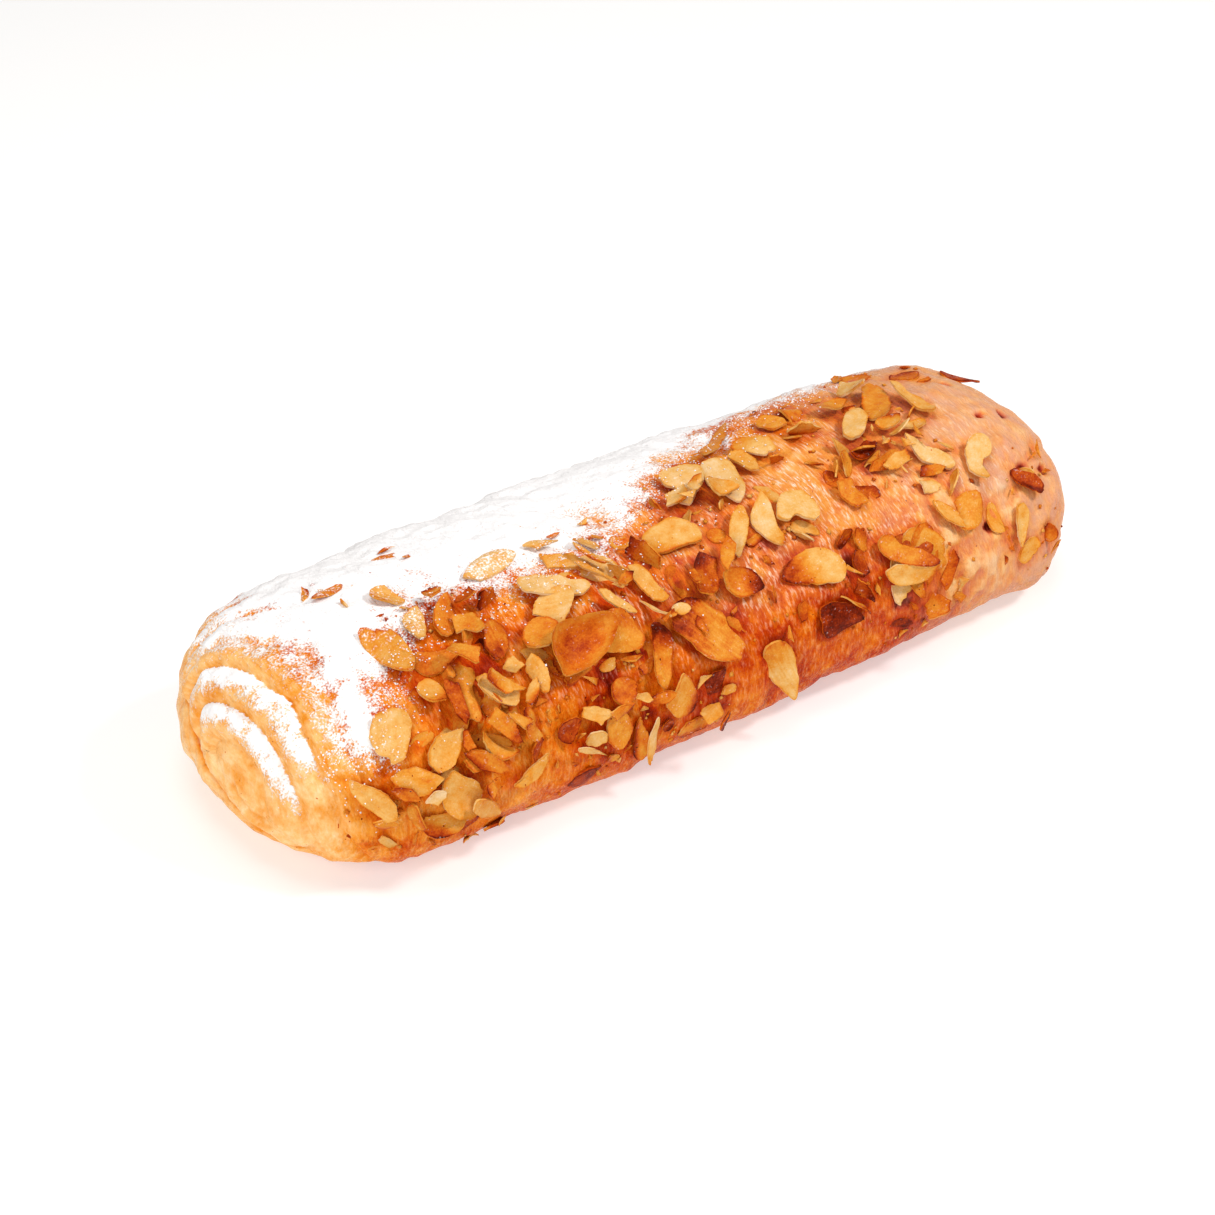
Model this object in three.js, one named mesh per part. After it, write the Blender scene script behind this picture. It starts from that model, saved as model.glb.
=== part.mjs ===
// A rolled strudel pastry: one baked roll whose rolled-up layers show as a coil at each end,
// with flaked almonds stuck to its glazed top and front.
// Millimetres, +Z up. X runs along the roll and -Y is its front. The origin is the middle of its base.
import * as THREE from 'three';
import { mergeVertices } from 'three/addons/utils/BufferGeometryUtils.js';

// The roll: its box, the height of its widest line, and how its section bulges and tapers.
const ROLL = {
  length: 264,
  width: 98,
  height: 55,
  belly: 22.3,
  taper: -0.029,
  swell: 0.03,
  swellTurn: 0.9,
  topFullness: 2.15,
  baseFullness: 2.9,
  baseCut: 1.2,
};

// The two domed ends. The left one is slack and shows its coil, and the right one is blunt.
const LEFT_END = { reach: 40, power: 2.1, keel: 0.6, pole: 27, shift: 3 };
const RIGHT_END = { reach: 35, power: 3.8, keel: 0.78, pole: 23, shift: 0 };

// The coil of layers: its centre on the end, the layer spacing, and how deep its grooves are.
const LEFT_COIL = { front: 13, up: 0, spacing: 8.5, depth: 1.2, turn: 1 };
const RIGHT_COIL = { front: -4, up: 2, spacing: 9, depth: 0.8, turn: -1 };
const COIL_EDGE = 0.96;
const COIL_FADE = 0.1;
const COIL_UNDER = { start: 1.2, slope: 2 };

// Uneven proving leaves low swellings on the barrel.
const LUMP = { height: 0.7, length: 47, turns: 3 };

// How finely the roll is divided: rings over the left dome, barrel and right dome, and points around.
const RINGS = { left: 28, barrel: 16, right: 15 };
const AROUND = 48;

// Flaked almonds: thickness, the room left under each, how far the ends curl up, points on each side,
// and how far the outline bulges and where its shoulder lies towards the tip.
const FLAKE = { thickness: 1.1, gap: 0.45, curl: 0.9, sides: 7, bulge: 0.66, shoulder: 0.35 };

// How a flake settles: places felt under it each way, from how high above, a margin past its rim,
// how full its ends are, and the tilts it tries.
const SETTLE = {
  lengthways: 9,
  sideways: 6,
  above: 40,
  margin: 1.08,
  fullness: 1.05,
  steepest: 0.36,
  tilts: 13,
};

// Small steps that give the slope of the surface, along in millimetres and around in radians.
const STEP = { along: 0.05, around: 0.01 };

// Each flake's length and width, how far along the roll it lies, how many degrees around from the top
// towards the front, and the turn of its pointed end from the +X direction towards the back.
const TOASTED = 0xb8651f;
const GOLDEN = 0xe0a044;
const PALE = 0xf0cd86;
const DARK = 0x7a3d17;
const flake = (length, width, along, around, turn, colour) => (
  { length, width, along, around, turn, colour }
);
const FLAKES = [
  flake(19, 12, 0, 21, -18, PALE),
  flake(23, 14, 27, 6, -91, PALE),
  flake(12.5, 10.5, 17, 1, -5, PALE),
  flake(20.5, 5.5, 19, 27, 53, PALE),
  flake(19.5, 7.5, 29, 29, -106, PALE),
  flake(12.5, 11, 40, 28, -39, GOLDEN),
  flake(19.5, 10.5, 34, 52, -24, GOLDEN),
  flake(12.5, 10.5, 37, 77, -8, DARK),
  flake(18.5, 9.5, 16, 87, -71, PALE),
  flake(23.5, 14.5, -5, 59, -57, TOASTED),
  flake(10.5, 9.5, 10, 47, -36, DARK),
  flake(17, 5.5, 1, 38, 59, TOASTED),
  flake(17, 6.5, -21, 61, 69, TOASTED),
  flake(12, 10, -19, 78, 55, GOLDEN),
  flake(22.5, 12.5, -42, 46, 12, TOASTED),
  flake(11.5, 9.5, -50, 35, -10, GOLDEN),
  flake(12, 9.5, -29, 47, -42, GOLDEN),
  flake(12.5, 10, -42, 26, -20, GOLDEN),
  flake(18, 9, -38, 21, -40, PALE),
  flake(18.5, 4.5, -24, 22, -60, GOLDEN),
  flake(16, 5, -27, 33, -66, GOLDEN),
  flake(17, 8, -14, 34, -74, GOLDEN),
  flake(13, 6, -67, 85, 20, GOLDEN),
  flake(10, 8.5, -40, 84, 60, PALE),
  flake(14, 9.5, -100, 50, -110, PALE),
  flake(12.5, 10.5, -89, 62, -125, GOLDEN),
  flake(17.5, 6.5, -77, 46, -107, TOASTED),
  flake(12.5, 7, -69, 49, -48, GOLDEN),
  flake(12.5, 10.5, -88, 81, -42, GOLDEN),
  flake(13, 6, -109, 74, -40, GOLDEN),
  flake(13, 6, -98, 67, -17, GOLDEN),
  flake(13, 6, -81, 91, -55, GOLDEN),
  flake(12, 7, -62, 31, -94, DARK),
  flake(10.5, 5, -65, 21, -41, TOASTED),
  flake(12.5, 6, -77, 13, -98, PALE),
  flake(13, 8.5, -79, 28, -34, TOASTED),
  flake(12.5, 8, -56, 48, -88, GOLDEN),
  flake(24, 11.5, 65, 61, -24, GOLDEN),
  flake(21, 10.5, 63, 71, -20, GOLDEN),
  flake(13, 6, 82, 52, -64, GOLDEN),
  flake(12.5, 7.5, 91, 56, 52, GOLDEN),
  flake(17.5, 8.5, 88, 26, -65, PALE),
  flake(17.5, 8, 101, 37, -116, PALE),
  flake(13, 6, 105, 70, 65, PALE),
  flake(12.5, 10.5, 90, -5, -74, GOLDEN),
  flake(18, 7, 101, 1, 92, PALE),
  flake(12.5, 10.5, 78, -11, -54, GOLDEN),
  flake(12.5, 10.5, 77, 4, 12, PALE),
  flake(13.5, 10.5, 45, -2, 156, PALE),
  flake(17, 5, 38, -11, 26, GOLDEN),
  flake(12.5, 10.5, 59, 29, -81, TOASTED),
  flake(18, 7, -47, 1, 0, PALE),
];

const halfLength = ROLL.length / 2;
const clamp = (value) => Math.min(Math.max(value, 0), 1);
const degrees = THREE.MathUtils.degToRad;
const domeShare = (depth, power) => (1 - depth ** power) ** (1 / power);

// How deep a place lies in each end's dome, and what share of the full section is left there.
function ends(along) {
  const left = clamp(1 - (along + halfLength) / LEFT_END.reach);
  const right = clamp(1 - (halfLength - along) / RIGHT_END.reach);
  const leftShare = domeShare(left, LEFT_END.power);
  const rightShare = domeShare(right, RIGHT_END.power);
  return { left, right, leftShare, rightShare };
}

// The smooth surface of the roll, without its coils and lumps.
function smoothPoint(along, around) {
  const { left, right, leftShare, rightShare } = ends(along);
  const t = along / halfLength;
  const swelling = ROLL.swell * Math.cos(ROLL.swellTurn * Math.PI * t);
  const full = (1 + ROLL.taper * t + swelling) * leftShare * rightShare;
  const belly = ROLL.belly
    + (LEFT_END.pole - ROLL.belly) * left ** 2 + (RIGHT_END.pole - ROLL.belly) * right ** 2;
  const side = Math.sin(around);
  const up = Math.cos(around);
  const power = 2 / (up >= 0 ? ROLL.topFullness : ROLL.baseFullness);
  const rise = up >= 0
    ? (ROLL.height - ROLL.belly) * full
    : -belly * leftShare ** LEFT_END.keel * rightShare ** RIGHT_END.keel;
  const y = -ROLL.width / 2 * full * Math.sign(side) * Math.abs(side) ** power + LEFT_END.shift * left ** 2;
  const z = belly + rise * Math.abs(up) ** power;
  return new THREE.Vector3(along, y, Math.max(z, ROLL.baseCut) - ROLL.baseCut);
}

// The outward direction of the smooth surface.
function outward(along, around) {
  const inside = THREE.MathUtils.clamp(along, STEP.along - halfLength, halfLength - STEP.along);
  const alongEdge = smoothPoint(inside + STEP.along, around)
    .sub(smoothPoint(inside - STEP.along, around));
  const aroundEdge = smoothPoint(inside, around + STEP.around)
    .sub(smoothPoint(inside, around - STEP.around));
  return aroundEdge.cross(alongEdge).normalize();
}

// The beads and grooves of the rolled-up layers on one end, fading out at its edge and underneath.
function coilRelief(share, around, coil) {
  const front = share * Math.sin(around) * ROLL.width / 2 - coil.front;
  const up = share * Math.cos(around) * (ROLL.height - ROLL.belly) - coil.up;
  const turns = Math.hypot(front, up) / coil.spacing + coil.turn * Math.atan2(front, up) / (2 * Math.PI);
  const underneath = clamp(COIL_UNDER.start + COIL_UNDER.slope * Math.cos(around));
  const fade = clamp((COIL_EDGE - share) / COIL_FADE) * underneath;
  return coil.depth / 2 * fade * Math.cos(2 * Math.PI * turns);
}

// The roll's surface as it is: smooth form, coils at the ends, lumps on the barrel, flat underneath.
function rollPoint(along, around) {
  const { left, right, leftShare, rightShare } = ends(along);
  const point = smoothPoint(along, around);
  if (point.z === 0) return point;
  let relief = LUMP.height * Math.sin(along / LUMP.length * 2 * Math.PI) * Math.cos(LUMP.turns * around)
    * leftShare * rightShare * clamp(point.z / ROLL.belly);
  if (left > 0) relief += coilRelief(leftShare, around, LEFT_COIL);
  if (right > 0) relief += coilRelief(rightShare, around, RIGHT_COIL);
  point.addScaledVector(outward(along, around), relief);
  point.z = Math.max(point.z, 0);
  return point;
}

// The stations along the roll, closer together towards each pole, and without the poles.
function stations() {
  const places = [];
  for (let i = 1; i <= RINGS.left; i += 1) {
    const share = i / (RINGS.left + 1);
    places.push(-halfLength + LEFT_END.reach * (1 - domeShare(share, LEFT_END.power)));
  }
  for (let i = 0; i <= RINGS.barrel; i += 1) {
    const from = LEFT_END.reach - halfLength;
    const to = halfLength - RIGHT_END.reach;
    places.push(from + (to - from) * i / RINGS.barrel);
  }
  for (let i = RINGS.right; i >= 1; i -= 1) {
    const share = i / (RINGS.right + 1);
    places.push(halfLength - RIGHT_END.reach * (1 - domeShare(share, RIGHT_END.power)));
  }
  return places;
}

function rollGeometry() {
  const rings = stations();
  const points = [rollPoint(-halfLength, 0)];
  for (const along of rings) {
    for (let j = 0; j < AROUND; j += 1) points.push(rollPoint(along, 2 * Math.PI * j / AROUND));
  }
  points.push(rollPoint(halfLength, 0));
  const at = (ring, j) => 1 + ring * AROUND + j % AROUND;
  const faces = [];
  for (let j = 0; j < AROUND; j += 1) {
    faces.push(0, at(0, j + 1), at(0, j));
    faces.push(points.length - 1, at(rings.length - 1, j), at(rings.length - 1, j + 1));
    for (let ring = 0; ring + 1 < rings.length; ring += 1) {
      faces.push(at(ring, j), at(ring + 1, j + 1), at(ring + 1, j));
      faces.push(at(ring, j), at(ring, j + 1), at(ring + 1, j + 1));
    }
  }
  const geometry = new THREE.BufferGeometry().setFromPoints(points);
  geometry.setIndex(faces);
  return geometry;
}

// The outline of a flake, blunt at one end and pointed at the other.
function flakeOutline(length, width) {
  const shape = new THREE.Shape();
  const blunt = -length / 2;
  const tip = length / 2;
  const bulge = width * FLAKE.bulge;
  shape.moveTo(blunt, 0);
  shape.bezierCurveTo(blunt, -bulge, tip * FLAKE.shoulder, -bulge, tip, 0);
  shape.bezierCurveTo(tip * FLAKE.shoulder, bulge, blunt, bulge, blunt, 0);
  return shape;
}

// A thin flake lying on z = 0, its ends curled up a little.
function flakeGeometry(length, width) {
  const geometry = new THREE.ExtrudeGeometry(flakeOutline(length, width), {
    depth: FLAKE.thickness,
    bevelEnabled: false,
    curveSegments: FLAKE.sides,
  });
  geometry.deleteAttribute('normal');
  geometry.deleteAttribute('uv');
  const positions = geometry.getAttribute('position');
  for (let i = 0; i < positions.count; i += 1) {
    const reach = 2 * positions.getX(i) / length;
    positions.setZ(i, positions.getZ(i) + FLAKE.curl * reach ** 4);
  }
  return mergeVertices(geometry);
}

// How high what lies under a flake reaches above the flake's own plane, felt from above at many places.
function feel(place, length, width, below) {
  const ray = new THREE.Raycaster();
  const down = new THREE.Vector3(0, 0, -1).transformDirection(place);
  const felt = [];
  for (let i = -SETTLE.lengthways; i <= SETTLE.lengthways; i += 1) {
    for (let j = -SETTLE.sideways; j <= SETTLE.sideways; j += 1) {
      const s = i / SETTLE.lengthways;
      const reach = s * SETTLE.margin * length / 2;
      const across = j / SETTLE.sideways * Math.sqrt(SETTLE.fullness - s * s) * SETTLE.margin * width / 2;
      ray.set(new THREE.Vector3(reach, across, SETTLE.above).applyMatrix4(place), down);
      const [hit] = ray.intersectObjects(below, false);
      if (hit) felt.push({ reach, across, height: SETTLE.above - hit.distance });
    }
  }
  return felt;
}

// The lowest lie, tilted end to end and side to side, that clears everything felt under a flake.
function lowestLie(felt) {
  let best = null;
  const tilt = (step) => SETTLE.steepest * (2 * step / (SETTLE.tilts - 1) - 1);
  for (let i = 0; i < SETTLE.tilts; i += 1) {
    for (let j = 0; j < SETTLE.tilts; j += 1) {
      const pitch = tilt(i);
      const bank = tilt(j);
      const lift = Math.max(...felt.map((f) => f.height - pitch * f.reach - bank * f.across));
      if (best === null || lift < best.lift) best = { pitch, bank, lift };
    }
  }
  return best;
}

// A flake settled on the roll or on the flakes already under it.
function settledFlake({ length, width, along, around, turn, colour }, below) {
  const angle = degrees(around);
  const normal = outward(along, angle);
  const lengthways = new THREE.Vector3(1, 0, 0).addScaledVector(normal, -normal.x).normalize();
  const sideways = normal.clone().cross(lengthways);
  const place = new THREE.Matrix4().makeBasis(lengthways, sideways, normal)
    .setPosition(rollPoint(along, angle))
    .multiply(new THREE.Matrix4().makeRotationZ(degrees(turn)));
  const { pitch, bank, lift } = lowestLie(feel(place, length, width, below));
  const tilted = new THREE.Matrix4().makeRotationFromEuler(
    new THREE.Euler(Math.atan(bank), -Math.atan(pitch), 0),
  ).setPosition(0, 0, lift + FLAKE.gap);
  const look = new THREE.MeshStandardMaterial({ color: colour, roughness: 0.55, metalness: 0 });
  const mesh = new THREE.Mesh(flakeGeometry(length, width), look);
  mesh.applyMatrix4(place.multiply(tilted));
  mesh.updateMatrixWorld();
  return mesh;
}

const pastry = new THREE.Group();
const crust = new THREE.MeshStandardMaterial({ color: 0xd07a30, roughness: 0.4, metalness: 0 });
const roll = new THREE.Mesh(rollGeometry(), crust);
roll.name = 'pastry_roll';
pastry.add(roll);
FLAKES.forEach((spec, i) => {
  const mesh = settledFlake(spec, [...pastry.children]);
  mesh.name = `almond_flake_${String(i + 1).padStart(2, '0')}`;
  pastry.add(mesh);
});

export default pastry;
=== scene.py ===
import math

import bpy
import numpy as np
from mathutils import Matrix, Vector


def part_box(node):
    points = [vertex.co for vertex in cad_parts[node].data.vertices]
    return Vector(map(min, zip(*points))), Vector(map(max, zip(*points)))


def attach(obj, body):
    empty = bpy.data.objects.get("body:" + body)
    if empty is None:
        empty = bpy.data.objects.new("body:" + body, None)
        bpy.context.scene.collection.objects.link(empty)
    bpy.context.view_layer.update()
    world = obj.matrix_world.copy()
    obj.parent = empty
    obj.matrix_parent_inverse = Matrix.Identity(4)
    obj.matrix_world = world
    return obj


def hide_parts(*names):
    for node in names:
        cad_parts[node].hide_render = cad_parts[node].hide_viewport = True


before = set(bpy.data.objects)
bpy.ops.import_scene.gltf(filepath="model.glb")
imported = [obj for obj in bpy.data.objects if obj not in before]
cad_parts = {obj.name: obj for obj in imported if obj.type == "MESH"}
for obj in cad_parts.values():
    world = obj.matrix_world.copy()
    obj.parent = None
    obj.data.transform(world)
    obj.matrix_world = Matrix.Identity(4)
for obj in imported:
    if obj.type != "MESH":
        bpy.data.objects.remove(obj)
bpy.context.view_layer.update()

# A rolled strudel pastry with flaked almonds and icing sugar.
# Shapes are worked out in millimetres: along is X, and around is the angle from the top towards the front.

MM = 0.001
SEED = 7
LATTICE = 32            # cells after which smooth noise repeats

# The roll's form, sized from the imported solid
ROLL_LOW, ROLL_HIGH = (np.array(corner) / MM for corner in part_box("pastry_roll"))
BELLY = 22.3            # height of the widest line over the uncut base
BASE_CUT = 1.2          # how much of the round base is cut flat
TAPER = -0.029          # change in the section from the middle to the right end
SWELL = 0.03            # how much fuller the middle is
SWELL_WAVE = 0.9 * np.pi            # the part of a wave that it follows from the middle to an end
LUMP_HEIGHT = 0.7       # broad lumps: their height, their length and how many go round the roll
LUMP_LENGTH = 47.0
LUMP_TURNS = 3
HALF = (ROLL_HIGH[0] - ROLL_LOW[0]) / 2
WIDTH = (ROLL_HIGH[1] - ROLL_LOW[1]) / (1 + SWELL)
HEIGHT = (ROLL_HIGH[2] - LUMP_HEIGHT + BASE_CUT - BELLY) / (1 + SWELL) + BELLY
TOP_FULLNESS = 2.15     # 2 is an ellipse, more is fuller
BASE_FULLNESS = 2.9
# The domed ends: reach, bluntness, how slowly the underside rises, height of the tip, shift to the back
LEFT = {"reach": 40.0, "power": 2.1, "keel": 0.6, "pole": 27.0, "shift": 3.0}
RIGHT = {"reach": 35.0, "power": 3.8, "keel": 0.78, "pole": 23.0, "shift": 0.0}
ARC = 0.85              # millimetres round the roll for one degree
POLE_GAP = 0.2          # how near the tip of an end a place can still be told

# The coil on the left end: its middle, how long and tilted its turns are, its grooves' radii and its seam
COIL_FRONT, COIL_UP = 12.9, 0.2
COIL_ASPECT = 1.33
COIL_TILT = math.radians(148)
GROOVES = np.array([0, 7.7, 15.9, 22.9, 27.3, 31.6, 36.0, 41.0, 47.0, 54.0])
COIL_WOBBLE = 0.6
COIL_STEP_FROM = 120    # degrees from straight up at which a turn begins to pass into the next
CORE_HEIGHT = 0.25      # the innermost layer against the others
BEAD_HEIGHT = 1.9       # a rolled layer: its height, lean, roundness and mean level
BEAD_LEAN = 1.15
BEAD_ROUNDNESS = 0.6
BEAD_MEAN = 0.6
SEAM_RISE = -4.0
SEAM_SLOPE = -0.45
SEAM_DEPTH = 1.3
SEAM_WIDTH = 0.8
LIP_HEIGHT = 0.6        # the crust below the seam

# The coil on the right end: its middle, the distance between its turns, its height, and the end's bulge
RIGHT_COIL = {"front": 4.0, "up": -2.0, "pitch": 8.0, "height": 1.1}
BULGE = 1.6
BULGE_TURN = math.radians(80)

# Relief of the crust: general unevenness as height, size and seed, fine wrinkles, pits and blisters
UNEVEN = ((0.7, 18.0, 1), (0.75, 7.0, 2), (0.35, 3.0, 3))
WRINKLE_HEIGHT = 0.2
WRINKLE_STRETCH = (1, 0.3, 1)
PIT_DEPTH = 1.3
BLISTER_HEIGHT = 0.9
FLAT_BASE = 4.0         # the relief fades out below this height

# Where the icing sugar ends on the front: along, and degrees around
SUGAR_EDGE = np.array([
    (-132, 60), (-112, 55), (-103, 42), (-93, 33), (-84, 21), (-75, 12), (-66, 7), (-57, 12), (-43, 11),
    (-30, 11), (-12, 7), (4, 0), (19, -8), (34, -14), (50, -24), (64, -30), (98, -38), (132, -40),
])
SUGAR_FADE = 12.0       # how far single specks reach past that edge
SUGAR_DEEP = 20.0       # how far behind it the sugar is whole
SUGAR_THICK = 0.35
SUGAR_RAGGED = ((7, 13.0, 31), (5, 5.0, 32))        # how the edge wanders: weight, size and seed
LAYER_SUGAR = (0.8, 0.85, 0.45)     # on the coil's first three layers, from the inside
OUTER_SUGAR = 0.45                  # on the layers outside them
INNER_SUGAR_END, OUTER_SUGAR_END, COIL_SUGAR_FADE = 84.0, 58.0, 14      # degrees past straight up
COIL_PATCHES = ((0.3, 5.0, 33), (0.25, 2.2, 34))

# How finely the roll is divided
DOME_STEP, BARREL_STEP, RIGHT_STEP, COLUMNS = 0.72, 0.86, 0.9, 248

# The photo's camera
PICTURE = 1215
SENSOR = 36.0
CAMERA = {"azimuth": -35.1, "elevation": 35.0, "distance": 800.0, "lens": 84.8}
CAMERA_TARGET = np.array([-2.7, 0.0, 32.0])
CAMERA_AIM_RIGHT = -4.05
CAMERA_AIM_UP = -9.06


def smoothstep(low, high, value):
    """A smooth step from 0 at low to 1 at high."""
    t = np.clip((value - low) / (high - low), 0, 1)
    return t * t * (3 - 2 * t)


def unit(vector):
    """The same direction with a length of 1."""
    return vector / (np.linalg.norm(vector, axis=-1, keepdims=True) + 1e-9)


def lattice(points, size, seed):
    """Smooth noise from -1 to 1 that changes over about the given size in millimetres."""
    table = np.random.default_rng(seed).uniform(-1, 1, (LATTICE, LATTICE, LATTICE))
    scaled = points / size
    cell = np.floor(scaled).astype(int)
    part = scaled - cell
    part = part * part * (3 - 2 * part)
    total = np.zeros(points.shape[:-1])
    for corner in np.ndindex(2, 2, 2):
        weight = np.prod(np.where(corner, part, 1 - part), axis=-1)
        index = (cell + corner) % LATTICE
        total += weight * table[index[..., 0], index[..., 1], index[..., 2]]
    return total


def uneven(points, parts):
    """A sum of smooth noises, each with its weight, size and seed."""
    return sum(weight * lattice(points, size, seed) for weight, size, seed in parts)


# The roll's form

def dome_share(depth, power):
    return np.maximum(1 - depth ** power, 0) ** (1 / power)


def ends(along):
    """How deep each place lies in the left and right dome, and the share of the section left there."""
    left = np.clip(1 - (along + HALF) / LEFT["reach"], 0, 1)
    right = np.clip(1 - (HALF - along) / RIGHT["reach"], 0, 1)
    return left, right, dome_share(left, LEFT["power"]), dome_share(right, RIGHT["power"])


def round_share(along):
    """The share of the full section left at each place."""
    return ends(along)[2] * ends(along)[3]


def section(along):
    """Half width, height of the widest line, rise above it, fall below it and sideways shift."""
    left, right, left_share, right_share = ends(along)
    t = along / HALF
    full = (1 + TAPER * t + SWELL * np.cos(SWELL_WAVE * t)) * left_share * right_share
    belly = BELLY + (LEFT["pole"] - BELLY) * left ** 2 + (RIGHT["pole"] - BELLY) * right ** 2
    fall = belly * left_share ** LEFT["keel"] * right_share ** RIGHT["keel"]
    return WIDTH / 2 * full, belly, (HEIGHT - BELLY) * full, fall, LEFT["shift"] * left ** 2


def smooth_point(along, around):
    """A point of the roll's smooth form."""
    half_width, belly, rise, fall, shift = section(along)
    side, up = np.sin(around), np.cos(around)
    power = 2 / np.where(up >= 0, TOP_FULLNESS, BASE_FULLNESS)
    y = -half_width * np.sign(side) * np.abs(side) ** power + shift
    z = belly + np.where(up >= 0, rise, -fall) * np.abs(up) ** power
    z = np.maximum(z, BASE_CUT) - BASE_CUT
    return np.stack(np.broadcast_arrays(along, y, z), -1)


def outward(along, around):
    """The direction straight out of the smooth form."""
    step, turn = 0.05, 0.01
    inside = np.clip(along, step - HALF, HALF - step)
    by_along = smooth_point(inside + step, around) - smooth_point(inside - step, around)
    by_around = smooth_point(inside, around + turn) - smooth_point(inside, around - turn)
    return unit(np.cross(by_around, by_along))


def surface_axes(along, around):
    """A place on the smooth roll with its directions lengthways, sideways and outward."""
    normal = outward(along, around)
    lengthways = unit(np.array([1.0, 0, 0]) - normal * normal[0])
    return smooth_point(along, around), lengthways, np.cross(normal, lengthways), normal


def unrolled(points):
    """Along and around of points on or above the roll."""
    along = np.clip(points[..., 0], POLE_GAP - HALF, HALF - POLE_GAP)
    half_width, belly, rise, fall, shift = section(along)
    height = points[..., 2] + BASE_CUT - belly
    power = np.where(height >= 0, TOP_FULLNESS, BASE_FULLNESS) / 2
    side = (shift - points[..., 1]) / half_width
    up = height / np.where(height >= 0, rise, fall)
    around = np.arctan2(np.sign(side) * np.abs(side) ** power, np.sign(up) * np.abs(up) ** power)
    return along, around


# The camera, and which place on the roll shows at a pixel of the photo

SIGHT_GAP, SIGHT_STEP = 1, 0.7
SIGHT_DEGREES = np.arange(-95, 125, 0.8)
FLAKE_LONGEST = 22.0
FLAKE_NARROWEST = 1.8


def camera_axes():
    """Where the camera stands, and its directions right, up and forward."""
    azimuth, elevation = math.radians(CAMERA["azimuth"]), math.radians(CAMERA["elevation"])
    right = np.array([math.cos(azimuth), math.sin(azimuth), 0])
    back = np.array([math.sin(azimuth) * math.cos(elevation), -math.cos(azimuth) * math.cos(elevation),
                     math.sin(elevation)])
    place = CAMERA_TARGET + back * CAMERA["distance"]
    aim = CAMERA_TARGET + right * CAMERA_AIM_RIGHT + np.cross(back, right) * CAMERA_AIM_UP
    forward = unit(aim - place)
    right = unit(np.cross(forward, (0, 0, 1)))
    return place, right, np.cross(right, forward), forward


def project(points):
    """The photo's pixels at which points show."""
    place, right, up, forward = camera_axes()
    away = points - place
    scale = CAMERA["lens"] / SENSOR * PICTURE / (away @ forward)
    return np.stack([PICTURE / 2 + scale * (away @ right), PICTURE / 2 - scale * (away @ up)], -1)


class Sight:
    """Finds the place on the roll that shows at a pixel of the photo."""

    def __init__(self):
        along = np.arange(SIGHT_GAP - HALF, HALF - SIGHT_GAP, SIGHT_STEP)
        along, around = np.meshgrid(along, np.radians(SIGHT_DEGREES), indexing="ij")
        points = smooth_point(along, around)
        seen = ((camera_axes()[0] - points) * outward(along, around)).sum(-1) > 0
        self.along, self.around, self.pixels = along[seen], around[seen], project(points[seen])

    def place(self, x, y):
        nearest = np.hypot(self.pixels[:, 0] - x, self.pixels[:, 1] - y).argmin()
        return self.along[nearest], self.around[nearest]

    def flake(self, tail_x, tail_y, tip_x, tip_y, width):
        """Along, around, turn, length and width of a flake from its tail, tip and width in pixels."""
        along, around = self.place((tail_x + tip_x) / 2, (tail_y + tip_y) / 2)
        base, lengthways, sideways, _ = surface_axes(along, around)
        pixels = project(np.stack([base, base + lengthways, base + sideways]))
        to_surface = np.linalg.inv((pixels[1:] - pixels[0]).T)
        run = np.array([tip_x - tail_x, tip_y - tail_y])
        ahead = to_surface @ run
        across = to_surface @ np.array([-run[1], run[0]]) * width / np.linalg.norm(run)
        length = np.linalg.norm(ahead)
        wide = abs(across[1] * ahead[0] - across[0] * ahead[1]) / length
        length = min(length, FLAKE_LONGEST)
        return along, around, math.atan2(ahead[1], ahead[0]), length, np.clip(wide, FLAKE_NARROWEST, length)


SIGHT = Sight()

# Dark pits, painted shadow in the pockets between flakes, pale blisters: x and y in the photo's pixels, reach
# in millimetres
PITS = [
    (978, 416, 2.2), (1000, 415, 2.2), (990, 527, 2.2), (944, 385, 2.2), (1040, 469, 2.2), (1023, 468, 2.2),
]
SHADED_POCKETS = [
    (488, 668, 6.0), (402, 640, 3.5), (612, 676, 6.0), (598, 698, 4.0), (862, 452, 5.0), (868, 470, 4.5),
    (850, 560, 4.5), (640, 655, 3.5), (676, 560, 3.0), (648, 712, 3.5), (712, 715, 4.5),
    (765, 545, 3.5), (700, 560, 3.5), (905, 600, 4.5), (455, 655, 4.0), (530, 725, 4.0),
]
BLISTERS = [(968, 548, 22.0), (938, 486, 11.0), (905, 458, 10.0), (1003, 500, 9.0)]
PIT_CORE, SHADED_POCKET_CORE, BLISTER_CORE = 0.3, 0.2, 0.4     # the share of the reach that is at full strength
SPOT_RAGGED = 0.3


# The roll's relief

def left_coil(along, around):
    """Layer number, angle from straight up, height over the seam and share of the left end's coil."""
    share = ends(along)[2]
    front = share * np.sin(around) * WIDTH / 2
    up = share * np.cos(around) * (HEIGHT - BELLY)
    wobble = lattice(np.stack([front, up, 0 * up], -1), size=8.0, seed=11) * COIL_WOBBLE
    across, above = front - COIL_FRONT, up - COIL_UP
    long_way = math.cos(COIL_TILT) * across + math.sin(COIL_TILT) * above
    short_way = math.cos(COIL_TILT) * above - math.sin(COIL_TILT) * across
    radius = np.hypot(long_way / COIL_ASPECT, short_way) + wobble
    angle = np.degrees(np.arctan2(across, above))
    drift = np.sign(angle) / 2 * smoothstep(COIL_STEP_FROM, 180, np.abs(angle))
    layer = np.interp(radius, GROOVES, np.arange(len(GROOVES))) + drift
    over_seam = up - (SEAM_RISE + SEAM_SLOPE * front)
    return layer, angle, over_seam, share


def bead(layer):
    """The section of one rolled layer: a round ridge with a sharp groove on each side."""
    s = layer - np.floor(layer)
    return np.sin(np.pi * s ** BEAD_LEAN) ** BEAD_ROUNDNESS


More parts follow.
